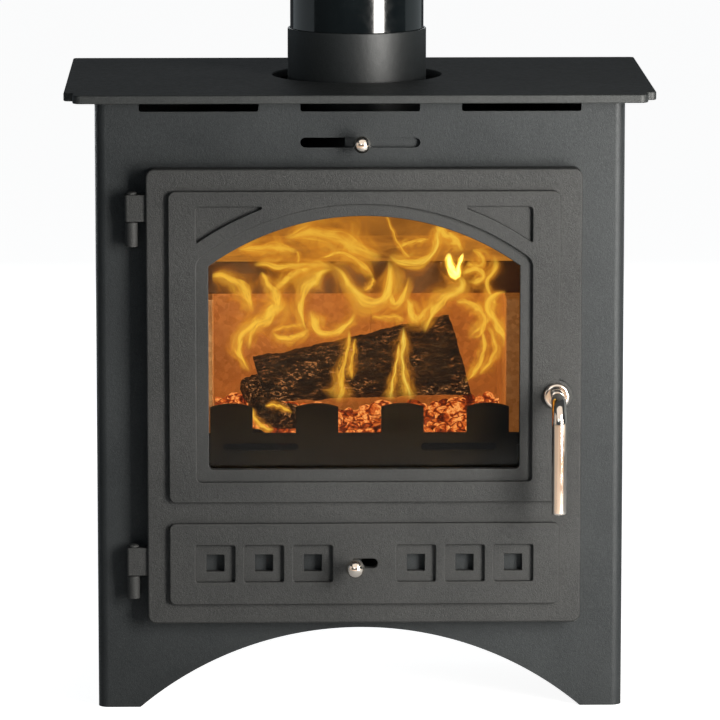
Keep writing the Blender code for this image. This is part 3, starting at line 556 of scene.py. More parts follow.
outline = fillet([(-279, 313), (-279, 0), (-270, 0), (-270, -24), (270, -24), (270, 0), (279, 0), (279, 313)],
                 [4, 5, 3, 8, 8, 3, 5, 4], 10)
piece(smooth(plate("top_plate_steel", "XY", [outline, circle(0, 163, 81.75, 128)], 582.0, 590.0, 1.2, 3)),
      "stove", M["plate"], ["top_plate"])
piece(smooth(turned("flue_collar_casting", "Z", (0, 163),
                    [(60.5, 504.6), (60.5, 600.0), (65.0, 600.0), (65.0, 634.6), (65.15, 635.1), (65.5, 635.45),
                     (66.0, 635.5), (66.5, 635.35), (66.9, 634.9), (67.0, 634.2), (67.0, 516.0), (67.6, 513.2),
                     (69.4, 511.0), (72.0, 510.2), (78.2, 510.0), (79.0, 509.2), (79.0, 504.6)], 144, True)),
      "stove", M["collar"], ["flue_collar"])
piece(smooth(turned("flue_pipe_enamelled", "Z", (0, 163),
                    [(62.5, 600.6), (62.5, 749.4), (62.8, 749.9), (63.3, 750.0), (63.9, 749.9), (64.3, 749.5),
                     (64.5, 748.9), (64.5, 600.9), (64.2, 600.3), (62.8, 600.3)], 144, True)),
      "stove", M["enamel"], ["flue_pipe"])


# ----------------------------------------------------------------------- door
WR = (146.8 ** 2 + 47.5 ** 2) / 95.0
WCZ = 475.5 - WR


def window(grow, corner=4.0, seg=64):
    half, low, r = 146.8 + grow, 234.0 - grow, WR + grow
    a = math.degrees(math.asin(half / r))
    feet = fillet([(DX - half, low + 60), (DX - half, low), (DX + half, low), (DX + half, low + 60)],
                  [0, corner, corner, 0], 8)[1:-1]
    return feet + arc(DX, WCZ, r, 90 - a, 90 + a, seg)


def soft_window(grow, corner, shoulder=7.0):
    """The window outline with its two shoulders rounded too."""
    pts = window(grow, corner, 24)
    # the first and last points of the head are the shoulders
    feet_n = len(pts) - 25
    radii = [0.0] * len(pts)
    out = []
    for idx, p in enumerate(pts):
        if idx in (feet_n, len(pts) - 1):
            prev, nxt = Vector(pts[idx - 1]), Vector(pts[(idx + 1) % len(pts)])
            c = Vector(p)
            a, b = (prev - c), (nxt - c)
            la, lb = min(shoulder, a.length * 0.95), min(shoulder, b.length * 0.95)
            s, e = c + a.normalized() * la, c + b.normalized() * lb
            for t in (0.0, 0.2, 0.4, 0.6, 0.8, 1.0):
                out.append(tuple(s.lerp(c, t).lerp(c.lerp(e, t), t)))
        else:
            out.append(p)
    return out


def door_rect(half, low, high, r, seg=10):
    return rect(DX - half, DX + half, low, high, r, seg)


def corner_recess(side):
    half, top, r = 158.3, 484.7, 275.6
    a_tip = math.degrees(math.asin((top - WCZ) / r))
    a_low = math.degrees(math.acos(half / r))
    head = arc(0, WCZ, r, a_tip, a_low, 40)
    soft = fillet([(half, top), head[0], head[3], head[-4], head[-1]], [4.0, 1.0, 0, 0, 1.0], 5)
    tip, low = soft[11], soft[-6]
    body = [p for p in head if tip[0] + 1.0 < p[0] < low[0] - 1.0]
    pts = soft[:12] + body + soft[-6:]
    pts = [(DX + side * x, z) for x, z in pts]
    return pts if side > 0 else pts[::-1]


VENTS = (-141.3, -95.2, -48.9, 48.9, 95.2, 141.3)
HINGES = {"upper": (446.0, 469.2, 470.0, 495.5), "lower": (108.5, 130.4, 131.2, 158.0)}
HX, HY = -215.6, -11.0
KX, KZ = 185.0, 304.5


def vents(hx, hz, r=0.6):
    return [rect(DX + x - hx, DX + x + hx, 143.8 - hz, 143.8 + hz, r, 4) for x in VENTS]


def door():
    base = plate("door_cast", "XZ", [door_rect(205.4, 85.3, 520.1, 8), window(2.2, 5)] + vents(9.6, 9.1)
                 + [slot_outline(DX, 143.8, 14.1, 5.9)], -20.0, -12.0, 1.8, 4)
    layers = [
        plate("u1", "XZ", [door_rect(182.5, 204.0, 498.0, 6), window(0, 4)], -20.5, -12.6, 0.8, 3),
        plate("u2", "XZ", [door_rect(184.4, 202.5, 499.7, 7), soft_window(11.5, 4.0), corner_recess(1),
                           corner_recess(-1)], -25.0, -17.5, 1.15, 4),
        plate("l1", "XZ", [door_rect(182.5, 106, 181, 5), slot_outline(DX, 143.8, 12.9, 4.75)]
              + vents(8.5, 8.0), -20.5, -12.6, 0.6, 3),
        plate("l2", "XZ", [door_rect(184.4, 104.3, 182.6, 6), slot_outline(DX, 143.8, 12.6, 4.45)]
              + vents(18.6, 17.6, 2.0), -25.0, -17.5, 1.15, 4),
        plate("boss", "XZ", [circle(KX, KZ, 15.0, 64)], -25.2, -17.5, 0.9, 3),
        plate("rim", "XZ", [door_rect(205.2, 85.5, 519.9, 7.8), door_rect(200, 90.7, 514.7, 4)], -14.5, -2.0, 0.9, 2),
    ]
    for x in (-163, 163):
        for z in (262, 408):
            layers.append(plate("clip_boss", "XZ", [circle(DX + x, z, 4.0, 32)], -13.0, -5.6, 0.4, 1))
    for k_low, k_high, l_low, l_high in HINGES.values():
        layers.append(plate("lug", "XY", [rect(HX - 6.1, DX - 202.0, HY - 6.1, HY + 5.2, 2.4, 6)], l_low, l_high, 0.7, 2))
    ob = combine(base, layers, "UNION")
    bores = [plate("bore", "XZ", [circle(KX, KZ, 5.4, 32)], -28.0, -8.0)]
    for k_low, k_high, l_low, l_high in HINGES.values():
        bores.append(plate("bore", "XY", [circle(HX, HY, 4.3, 48)], l_low - 2, l_high + 2))
    for x in (-163, 163):
        for z in (262, 408):
            bores.append(plate("bore", "XZ", [circle(DX + x, z, 1.8, 20)], -11.5, -3.6))
    ob = combine(ob, bores, "DIFFERENCE")
    return smooth(ob, 40)


piece(door(), "door", M["cast"], ["door_casting"])

# rope seal: a soft-edged rope lying in the door's back
piece(smooth(plate("door_rope", "XZ", [door_rect(175.5, 101.5, 503.5, 12), door_rect(168.5, 108.5, 496.5, 6)],
                   -11.7, -0.3, 3.2, 4), 60), "door", M["rope"], ["door_rope_seal"])


# --------------------------------------------------------------------- hinges
for side, (k_low, k_high, l_low, l_high) in HINGES.items():
    ob = plate("hinge_knuckle_cast_" + side, "XY", [circle(HX, HY, 6.1, 48)], k_low, k_high, 0.8, 2)
    foot = plate("foot", "XY", [rect(HX - 5.9, HX + 4.1, HY + 0.5, -0.3, 0.0)], k_low + 0.4, k_high - 0.4, 0.5, 2)
    ob = combine(ob, [foot], "UNION")
    ob = combine(ob, [plate("bore", "XY", [circle(HX, HY, 4.3, 48)], k_low + 3, k_high + 3)], "DIFFERENCE")
    piece(smooth(ob, 40), "stove", M["cast"], ["hinge_knuckle_" + side])
    piece(smooth(turned("hinge_pin_capped_" + side, "Z", (HX, HY),
                        [(0, l_high + 2.8), (1.6, l_high + 2.78), (3.2, l_high + 2.65), (4.4, l_high + 2.3),
                         (5.0, l_high + 1.7), (5.2, l_high + 1.0), (5.0, l_high + 0.3), (4.0, l_high + 0.3),
                         (4.0, k_low + 4.0), (3.3, k_low + 3.3), (0, k_low + 3.3)], 48)),
          "stove", M["cast"], ["hinge_pin_" + side])


# ------------------------------------------------------------ knobs and handle
def knob_profile(centre, r, neck_r, neck_end, stem_r, stem_end):
    a_end = math.degrees(math.asin((neck_r + 0.7) / r))
    n = 26
    ball = [(r * math.sin(math.radians(a)), centre - r * math.cos(math.radians(a)))
            for a in [(180 - a_end) * k / n for k in range(n + 1)]]
    ball[0] = (0.0, centre - r)
    z = ball[-1][1]
    return ball + [(neck_r + 0.25, z + 0.5), (neck_r, z + 1.2), (neck_r, neck_end - 0.4), (neck_r - 0.3, neck_end),
                   (stem_r, neck_end), (stem_r, stem_end - 0.4), (stem_r - 0.4, stem_end), (0.0, stem_end)]


piece(smooth(turned("airwash_ball_knob", "Y", (1.4, 542.6), knob_profile(-17.0, 8.25, 3.4, -1.0, 2.2, 9.0)[::-1], 64)),
      "airwash", M["chrome"], ["airwash_knob"])
piece(smooth(turned("primary_ball_knob", "Y", (DX - 8.9, 143.8), knob_profile(-50.0, 8.75, 3.4, -13.0, 2.2, -6.5)[::-1], 64)),
      "primary_air", M["chrome"], ["primary_knob"])
piece(smooth(turned("handle_rose", "Y", (KX, KZ),
                    [(5.5, -25.45), (12.2, -25.45), (12.5, -25.8), (12.5, -28.2), (12.35, -29.0), (11.9, -29.8),
                     (11.1, -30.5), (10.2, -30.9), (9.2, -31.0), (5.5, -31.0)][::-1], 96, True)),
      "door", M["chrome"], ["handle_rosette"])


def swept(name, path, radii, sides=40):
    """A round bar along a path, with its own radius at each point and closed,
    rounded ends."""
    verts, faces = [], []
    n = len(path)
    up = Vector((1, 0, 0))
    for i, p in enumerate(path):
        a = path[max(0, i - 1)]
        b = path[min(n - 1, i + 1)]
        t = (b - a).normalized()
        side = up.cross(t).normalized()
        top = t.cross(side).normalized()
        for k in range(sides):
            ang = 2 * math.pi * k / sides
            verts.append(p + (top * math.cos(ang) + side * math.sin(ang)) * radii[i])
    for i in range(n - 1):
        for k in range(sides):
            a, b = i * sides + k, i * sides + (k + 1) % sides
            faces.append((a, b, b + sides, a + sides))
    faces.append(tuple(range(sides))[::-1])
    faces.append(tuple(range((n - 1) * sides, n * sides)))
    mesh = bpy.data.meshes.new(name)
    mesh.from_pydata([tuple(v) for v in verts], [], faces)
    ob = bpy.data.objects.new(name, mesh)
    bpy.context.scene.collection.objects.link(ob)
    bm = bmesh.new()
    bm.from_mesh(mesh)
    bmesh.ops.recalc_face_normals(bm, faces=bm.faces)
    bm.to_mesh(mesh)
    bm.free()
    return ob


def handle():
    path, radii = [], []

    def add(y, z, r):
        path.append(D(KX, y, z))
        radii.append(r * MM)
    for y, r in ((-31.3, 6.4), (-31.5, 6.8), (-32.0, 7.0), (-40, 7.0), (-48, 7.0)):
        add(y, KZ, r)
    for t in range(0, 91, 5):
        add(-55 - 20 * math.sin(math.radians(t)), KZ - 20 + 20 * math.cos(math.radians(t)), 7.0)
    for z in (275, 260, 240, 220, 205):
        add(-75, z, 7.0)
    for k in range(0, 8):
        t = math.radians(90 * k / 8)
        add(-75, 202.0 - 2.4 * math.sin(t), 7.0 - 2.4 + 2.4 * math.cos(t))
    add(-75, 199.6, 4.4)
    return smooth(swept("handle_lever", path, radii, 48), 50)


piece(handle(), "handle", M["chrome"], ["handle_bar"])

# log guard with rounded edges; its warm brown colour is painted firelight on black steel
M["guard"] = paint("log_guard_finish", (0.013, 0.0080, 0.0020), (0.025, 0.0150, 0.0035), 500.0, 0.00016, 0.00020,
                   (0.60, 0.75), 0.0, 0.05)
M["guard"].node_tree.nodes["Principled BSDF"].inputs["Specular IOR Level"].default_value = 0.12


def guard():
    pts = [(-157, 192.2), (157, 192.2), (157, 261.0)]
    for cx in (122.2, 40.7, -40.7, -122.2):
        w, rise = 20.2, 3.6
        r = (w * w + rise * rise) / (2 * rise)
        a = math.degrees(math.asin(w / r))
        pts.append((cx + w, 261.0))
        pts += arc(cx, 289.6 - r, r, 90 - a, 90 + a, 16)
        pts.append((cx - w, 261.0))
    pts.append((-157, 261.0))
    return smooth(plate("log_guard_plate", "XZ", [pts, slot_outline(94.5, 247.5, 36, 3.5),
                                                  slot_outline(-94.5, 247.5, 36, 3.5)], 25.5, 28.5, 0.5, 2))


piece(guard(), "guard", M["guard"], ["log_guard"])

# the other plain pieces keep their CAD mesh and get soft edges
ROUND_OFF = {"back_panel": 0.4, "base_shield": 0.3, "front_frame": 0.5, "firebox_wall_left": 0.4,
             "firebox_wall_right": 0.4, "firebox_back": 0.4, "firebox_roof": 0.4, "firebox_floor": 0.4,
             "brick_left": 1.2, "brick_right": 1.2, "brick_back_left": 1.2, "brick_back_right": 1.2,
             "baffle_board": 1.4, "grate": 0.8, "grate_rail_left": 0.3, "grate_rail_right": 0.3,
             "guard_bracket_left": 0.4, "guard_bracket_right": 0.4, "ash_pan": 0.3, "catch_keeper": 0.3,
             "latch_cam": 0.3, "airwash_slider": 0.3, "primary_slider": 0.3, "airwash_guide_upper": 0.3,
             "airwash_guide_lower": 0.3, "primary_guide_upper": 0.3, "primary_guide_lower": 0.3,
             "spindle_nut": 0.3, "glass_clip_1": 0.2, "glass_clip_2": 0.2, "glass_clip_3": 0.2, "glass_clip_4": 0.2}
for node, width in ROUND_OFF.items():
    ob = frame["nodes"][node]
    weld = ob.modifiers.new("Weld", "WELD")
    weld.merge_threshold = 0.00001
    mod = ob.modifiers.new("Bevel", "BEVEL")
    mod.width, mod.segments, mod.limit_method, mod.angle_limit = width * MM, 2, "ANGLE", math.radians(35)
    wn = ob.modifiers.new("Flat faces stay flat", "WEIGHTED_NORMAL")
    wn.keep_sharp = True




# ------------------------------------------------------------------- the fire
# Logs, coals and flames lie inside the firebox. Flames are given as the points
# where they show on the glass, in mm from the window's middle and from the floor,
# with a half width, and are set back from there along the line of sight.
EYE = (-106.1, -5188.5, 1173.3)


def behind(x, z, y):
    k = (y - EYE[1]) / (-7.0 - EYE[1])
    return (EYE[0] + (x + DX - EYE[0]) * k, y, EYE[2] + (z - EYE[2]) * k)


def new_piece(name, bm, material, smooth_angle=None):
    mesh = bpy.data.meshes.new(name)
    bm.to_mesh(mesh)
    bm.free()
    ob = bpy.data.objects.new(name, mesh)
    bpy.context.scene.collection.objects.link(ob)
    dress(ob, material)
    mesh.shade_smooth()
    if smooth_angle:
        mesh.set_sharp_from_angle(angle=math.radians(smooth_angle))
    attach(ob, "stove")
    return ob


def flame_material():
    k = Mat("fire_flame", Base_Color=(0.0, 0.0, 0.0, 1), Roughness=1.0, Specular_IOR_Level=0.0,
            Emission_Strength=1.0)
    a = k.nt.nodes.new("ShaderNodeAttribute")
    a.attribute_name = "stroke"
    sep = k.nt.nodes.new("ShaderNodeSeparateColor")
    k.nt.links.new(a.outputs["Color"], sep.inputs[0])
    across, along, heat = sep.outputs[0], sep.outputs[1], sep.outputs[2]
    n = k.nt.nodes.new("ShaderNodeCombineXYZ")
    k.nt.links.new(k.math("MULTIPLY", across, 3.2), n.inputs[0])
    k.nt.links.new(k.math("MULTIPLY", along, 2.2), n.inputs[1])
    k.nt.links.new(k.math("MULTIPLY", heat, 7.0), n.inputs[2])
    streak = k.noise(1.6, 4.0, 0.6, 0.8, src=n.outputs[0])
    edge = k.math("SUBTRACT", 1.0, k.math("ABSOLUTE", k.math("SUBTRACT", k.math("MULTIPLY", across, 2.0), 1.0)))
    wisps = k.math("ADD", edge, k.math("MULTIPLY", k.math("SUBTRACT", streak, 0.5), 1.5))
    body = k.remap(wisps, 0.05, 1.05, 0.0, 1.0, True)
    rim = k.remap(edge, 0.0, 0.28, 0.0, 1.0, True)
    ends = k.math("MULTIPLY", k.remap(along, 0.0, 0.16, 0.0, 1.0, True), k.remap(along, 1.0, 0.80, 0.0, 1.0, True))
    cover = k.math("MULTIPLY", k.math("MULTIPLY", body, rim), ends)
    cover = k.math("MULTIPLY", cover, k.remap(heat, 0.05, 0.14, 0.58, 0.86))
    k.link(cover, "Alpha")
    hot = k.math("ADD", k.math("MULTIPLY", body, 0.62), k.math("MULTIPLY", heat, 0.62))
    k.link(k.ramp(hot, [(0.16, (0.56, 0.18, 0.014)), (0.45, (0.76, 0.30, 0.022)), (0.80, (0.97, 0.58, 0.060)),
                        (1.00, (1.0, 0.80, 0.16))]), "Emission Color")
    # the hottest tongues go to white
    k.link(k.remap(heat, 0.55, 1.0, 1.0, 4.0), "Emission Strength")
    return k.m


FLAMES = [
    (60, 0.85, 0.3, [(-146.0, 417.3, 1.6), (-134.9, 415.4, 2.9), (-123.7, 410.9, 4.1), (-115.0, 403.0, 4.5), (-109.4, 391.8, 3.2), (-104.6, 381.5, 0.8)]),
    (66, 1.00, -0.2, [(-78.9, 401.4, 1.0), (-81.1, 388.6, 5.4), (-90.3, 375.9, 6.4), (-100.7, 369.5, 4.5), (-105.9, 361.5, 2.9), (-106.9, 353.6, 1.9), (-109.1, 344.8, 0.6)]),
    (60, 0.90, 0.3, [(-97.5, 375.9, 0.8), (-110.2, 369.5, 2.9), (-118.2, 359.9, 3.5), (-120.2, 350.4, 2.9), (-118.6, 342.4, 2.2), (-112.6, 332.8, 1.4), (-107.8, 324.1, 0.5)]),
    (56, 0.85, 0.2, [(-96.7, 422.1, 0.6), (-93.5, 412.5, 2.4), (-88.4, 404.6, 3.5), (-83.6, 395.0, 4.1), (-82.4, 383.8, 2.9)]),
    (68, 0.75, -0.3, [(-105.4, 427.7, 0.6), (-91.9, 429.3, 2.1), (-80.8, 426.9, 3.5), (-66.5, 428.5, 3.2), (-53.7, 427.7, 3.2), (-41.0, 429.8, 3.5), (-27.5, 423.7, 1.3)]),
    (58, 1.10, 0.3, [(-28.3, 425.0, 1.0), (-40.2, 422.4, 3.5), (-50.5, 416.0, 5.7), (-56.9, 407.4, 4.8), (-60.1, 397.4, 3.2), (-60.9, 385.4, 2.5), (-58.5, 372.7, 2.1), (-52.9, 362.3, 0.6)]),
    (64, 0.85, 0.0, [(-84.0, 401.4, 1.3), (-76.0, 410.9, 3.5), (-68.0, 417.3, 3.2), (-58.5, 422.4, 2.5), (-47.4, 424.5, 1.3)]),
    (70, 0.85, 0.2, [(-87.9, 363.9, 0.6), (-80.8, 357.5, 2.5), (-70.4, 356.4, 2.9), (-59.3, 360.4, 2.2), (-49.0, 367.6, 0.6)]),
    (72, 0.60, 0.0, [(-87.9, 363.9, 0.5), (-77.6, 367.6, 1.6), (-65.7, 369.5, 1.6), (-55.0, 371.1, 0.5)]),
    (62, 1.00, -0.2, [(-50.5, 386.7, 0.8), (-48.3, 379.1, 3.2), (-45.5, 371.1, 4.1), (-40.7, 363.9, 3.2), (-32.7, 362.3, 2.4), (-23.2, 366.3, 2.9), (-15.2, 372.7, 2.4), (-7.3, 383.5, 0.6)]),
    (57, 1.10, 0.3, [(-32.2, 426.9, 0.8), (-21.9, 417.3, 2.9), (-15.2, 406.2, 3.8), (-8.9, 396.6, 4.8), (0.7, 389.4, 5.1), (11.8, 388.9, 4.5), (20.7, 394.2, 3.8), (25.5, 406.2, 3.8), (26.5, 420.5, 3.5), (23.6, 435.6, 1.3)]),
    (61, 1.25, -0.3, [(23.4, 437.2, 1.0), (33.8, 431.7, 3.2), (46.5, 429.8, 3.8), (57.6, 433.3, 3.2), (64.8, 439.6, 2.2), (67.5, 449.2, 2.2), (69.1, 460.4, 2.9), (70.1, 466.7, 1.0)]),
    (69, 0.60, 0.0, [(29.8, 443.1, 0.8), (38.6, 446.8, 1.9), (49.7, 450.0, 1.9), (62.4, 452.1, 0.8)]),
    (66, 0.90, 0.2, [(68.0, 465.1, 1.3), (70.4, 458.8, 4.5), (77.5, 453.7, 4.5), (87.1, 448.4, 3.5), (92.6, 439.3, 1.3)]),
    (50, 3.20, 0.0, [(80.2, 439.3, 0.6), (80.6, 430.1, 2.5), (83.1, 422.4, 3.0), (86.6, 417.6, 2.9), (88.8, 420.8, 2.1), (90.1, 428.5, 1.4), (94.2, 439.3, 0.5)]),
    (55, 1.10, 0.3, [(86.3, 418.6, 2.2), (89.8, 409.3, 4.1), (83.4, 402.7, 4.1), (72.3, 396.3, 4.5), (65.9, 387.0, 4.1), (61.8, 377.5, 2.5), (58.6, 369.5, 1.8), (55.7, 361.8, 0.6)]),
    (63, 1.00, -0.2, [(40.5, 396.6, 1.0), (44.9, 385.4, 3.5), (47.8, 376.7, 4.1), (53.2, 379.1, 2.9), (59.6, 387.0, 2.1), (66.9, 393.1, 0.8)]),
    (59, 0.95, 0.2, [(26.1, 428.5, 1.0), (23.6, 414.1, 2.5), (23.0, 401.4, 2.9), (27.7, 388.3, 2.9), (34.1, 391.8, 2.5), (40.5, 404.6, 2.2), (43.0, 418.1, 0.8)]),
    (67, 0.85, 0.0, [(91.8, 417.0, 1.3), (100.6, 422.1, 2.9), (108.6, 422.4, 2.5), (112.4, 416.0, 2.1), (105.7, 410.6, 2.2), (96.6, 412.5, 1.0)]),
    (71, 0.80, 0.3, [(121.9, 437.7, 0.6), (123.8, 428.5, 1.9), (120.0, 420.5, 1.9), (115.2, 412.5, 2.2), (116.5, 401.4, 2.2), (120.0, 391.8, 2.9), (116.8, 379.1, 3.2), (110.5, 369.5, 2.5), (102.5, 362.3, 1.4), (97.1, 353.9, 0.5)]),
    (65, 0.90, -0.3, [(135.0, 401.7, 0.6), (124.8, 398.2, 1.9), (118.4, 391.5, 3.2), (121.6, 379.1, 3.2), (129.6, 367.9, 3.2), (134.3, 356.7, 2.7), (132.7, 347.5, 0.8)]),
    (73, 0.80, 0.2, [(110.1, 367.1, 0.8), (113.0, 353.6, 2.1), (110.5, 337.6, 2.2), (104.1, 324.9, 1.8), (95.0, 314.5, 0.5)]),
    (72, 0.50, 0.0, [(-119.8, 442.8, 1.0), (-99.9, 443.1, 4.1), (-80.8, 444.7, 4.8), (-61.7, 440.4, 1.3)]),
    (72, 0.45, 0.0, [(-76.0, 453.2, 1.6), (-49.0, 457.2, 7.3), (-25.1, 452.1, 8.9), (-1.2, 440.9, 6.4), (17.9, 432.5, 1.9)]),
    (52, 0.60, 0.0, [(20.7, 474.7, 0.5), (26.1, 462.0, 0.8), (32.5, 447.6, 1.0), (44.1, 432.5, 0.5)]),
    (70, 0.65, 0.2, [(-42.6, 432.9, 0.8), (-21.9, 438.0, 2.1), (-4.1, 428.2, 2.4), (6.7, 417.3, 1.9), (9.3, 410.1, 0.6)]),
    (54, 0.70, 0.2, [(8.6, 415.7, 0.5), (7.4, 410.9, 1.6), (4.3, 406.2, 1.6), (-0.4, 403.0, 0.5)]),
    (72, 0.55, 0.0, [(-63.3, 441.2, 0.6), (-61.4, 434.9, 1.4), (-62.3, 428.5, 0.8)]),
    (74, 0.75, 0.2, [(-13.6, 367.1, 0.5), (-15.2, 353.6, 1.4), (-17.0, 342.4, 1.9), (-21.0, 329.6, 2.2), (-22.7, 316.9, 2.7), (-23.2, 305.7, 3.8), (-27.0, 294.6, 1.6)]),
    (76, 1.50, 0.1, [(37.0, 369.0, 0.6), (37.3, 356.7, 2.1), (35.7, 344.0, 2.4), (36.3, 331.2, 2.4), (37.3, 321.7, 2.7), (39.5, 312.1, 2.9), (42.1, 303.3, 3.8), (42.7, 296.5, 2.5)]),
    (76, 1.50, -0.1, [(33.8, 354.4, 0.5), (32.2, 340.8, 1.1), (30.0, 328.1, 1.4), (27.6, 315.3, 1.6), (25.8, 304.9, 2.2), (25.7, 296.5, 2.1)]),
    (30, 1.00, 0.0, [(-106.5, 292.2, 0.6), (-104.6, 283.4, 1.3), (-99.9, 276.7, 1.6), (-93.2, 271.9, 1.6), (-84.3, 269.4, 0.6)]),
    (40, 0.90, 0.0, [(-94.3, 292.7, 0.6), (-85.5, 293.8, 1.3), (-77.3, 291.4, 1.3), (-67.3, 286.3, 0.5)]),
    (74, 0.60, 0.0, [(-8.4, 358.3, 0.5), (-10.0, 345.6, 1.4), (-12.4, 331.2, 1.9), (-11.1, 316.9, 1.0)]),
    (69, 0.70, 0.0, [(86.3, 391.8, 1.3), (95.8, 391.8, 2.9), (105.4, 387.0, 2.9), (111.7, 379.1, 1.6)]),
    (73, 0.50, 0.0, [(102.2, 442.8, 1.3), (111.7, 433.3, 3.5), (108.6, 425.3, 3.2), (95.8, 428.5, 1.6)]),
    (71, 0.60, 0.2, [(6.7, 377.5, 0.6), (19.5, 376.7, 1.9), (30.6, 377.5, 2.2), (38.6, 372.7, 1.0)]),
    (70, 0.55, 0.0, [(108.6, 321.7, 0.6), (118.1, 332.8, 2.2), (124.5, 345.6, 2.9), (121.3, 359.9, 1.9), (116.5, 369.5, 1.0)]),
    (70, 0.70, 0.2, [(98.2, 391.8, 0.6), (108.6, 385.4, 2.2), (113.0, 372.7, 2.2), (108.6, 359.9, 1.3), (100.6, 358.3, 0.6)]),
]


def catmull(points, step):
    out = []
    n = len(points)
    for i in range(n - 1):
        p0, p1, p2, p3 = (points[max(i - 1, 0)], points[i], points[i + 1], points[min(i + 2, n - 1)])
        length = math.dist(p1[:2], p2[:2])
        m = max(2, int(length / step))
        for j in range(m):
            t = j / m
            out.append(tuple(0.5 * (2 * b + (c - a) * t + (2 * a - 5 * b + 4 * c - d) * t * t
                                    + (3 * b - a - 3 * c + d) * t ** 3)
                             for a, b, c, d in zip(p0, p1, p2, p3)))
    out.append(tuple(points[-1]))
    return out


def flames():
    """Each stroke is a curved sheet; a broader, fainter one hangs behind it."""
    rng = random.Random(11)
    bm = bmesh.new()
    layer = bm.verts.layers.float_color.new("stroke")
    across_n = 11
    for depth, heat, skew, points in FLAMES:
        line = catmull(points, 1.6)
        wave, phase = rng.uniform(2.0, 5.0), rng.uniform(0, 6.3)
        for spread, back, level in ((2.2, 0.0, min(1.0, heat / 3.2)), (6.0, 7.0, 0.02)):
            rows = []
            n = len(line)
            for i, (x, z, w) in enumerate(line):
                a, b = line[max(i - 1, 0)], line[min(i + 1, n - 1)]
                t = Vector((b[0] - a[0], b[1] - a[1]))
                t = t.normalized() if t.length > 1e-6 else Vector((0, 1))
                side = Vector((-t.y, t.x))
                along = i / (n - 1)
                w = max(w, 0.3) * spread * (1.0 + 0.16 * math.sin(along * 19.0 + phase))
                row = []
                for k in range(across_n):
                    s = -1 + 2 * k / (across_n - 1)
                    off = s * w + (skew * w * (1 - s * s) if back == 0.0 else 0.0)
                    ripple = 0.5 * math.sin(along * 23 + s * 2.2 + phase)
                    gx = min(max(x + side.x * off + side.x * ripple, -143.0), 143.0)
                    gz = max(z + side.y * off + side.y * ripple, 258.0)
                    y = depth + back - 0.45 * min(w, 6.0) * (1 - s * s) + wave * math.sin(along * 5.0 + phase) * 0.5
                    v = bm.verts.new(D(*behind(gx, gz, min(max(y, 31.5), 74.0 if back == 0.0 else 74.3))))
                    v[layer] = ((s + 1) / 2, along, level, 1.0)
                    row.append(v)
                rows.append(row)
            for r0, r1 in zip(rows, rows[1:]):
                for k in range(across_n - 1):
                    bm.faces.new((r0[k], r0[k + 1], r1[k + 1], r1[k]))
    return new_piece("fire_flames", bm, M["flame"])


M["flame"] = flame_material()
flames()


def coal_material():
    """Broken charcoal burning orange, ash-grey on top and black in the cracks."""
    k = Mat("fire_coal", Roughness=0.95, Specular_IOR_Level=0.2)
    at = k.warp(0.006, 70.0)
    cell = k.voronoi(80.0, "DISTANCE_TO_EDGE", src=at)
    patch = k.noise(38.0, 4.0, 0.6, 0.6)
    fine = k.noise(300.0, 4.0, 0.65)
    crust = k.ramp(fine, [(0.3, (0.012, 0.005, 0.002)), (0.6, (0.050, 0.018, 0.008)), (0.8, (0.18, 0.085, 0.045))])
    height = k.math("MULTIPLY", k.remap(k.axis(2), 0.243, 0.254, 0.0, 1.0, True),
                    k.remap(k.axis(1), -0.0800, -0.0735, 0.0, 1.0, True))
    k.link(k.mix(height, (0.0012, 0.0009, 0.0006), crust), "Base Color")
    glow = k.math("MULTIPLY", k.remap(patch, 0.34, 0.56, 0.22, 1.0, True), k.remap(cell, 0.0, 0.13, 0.20, 1.0, True))
    glow = k.math("MULTIPLY", k.math("MULTIPLY", glow, k.remap(fine, 0.3, 0.60, 0.45, 1.20)), height)
    k.link(k.ramp(glow, [(0.0, (0.02, 0.004, 0.001)), (0.22, (0.20, 0.022, 0.003)), (0.55, (0.58, 0.085, 0.010)),
                         (0.85, (0.80, 0.20, 0.030)), (1.0, (0.95, 0.38, 0.10))]), "Emission Color")
    k.link(k.math("MULTIPLY", k.remap(glow, 0.0, 1.0, 0.5, 1.05), height), "Emission Strength")
    k.link(k.bump(k.math("ADD", fine, cell), 0.0016, 0.8), "Normal")
    return k.m


def bed_height(x, y):
    side = abs(x) / 138.0
    z = 248 + 9 * side * side + 8 * math.exp(-((y - 165) / 55.0) ** 2) * (0.4 + side)
    z += 5.0 * noise.noise(Vector((x * 0.035, y * 0.035, 3.1))) + 2.2 * noise.noise(Vector((x * 0.11, y * 0.11, 7.7)))
    return z


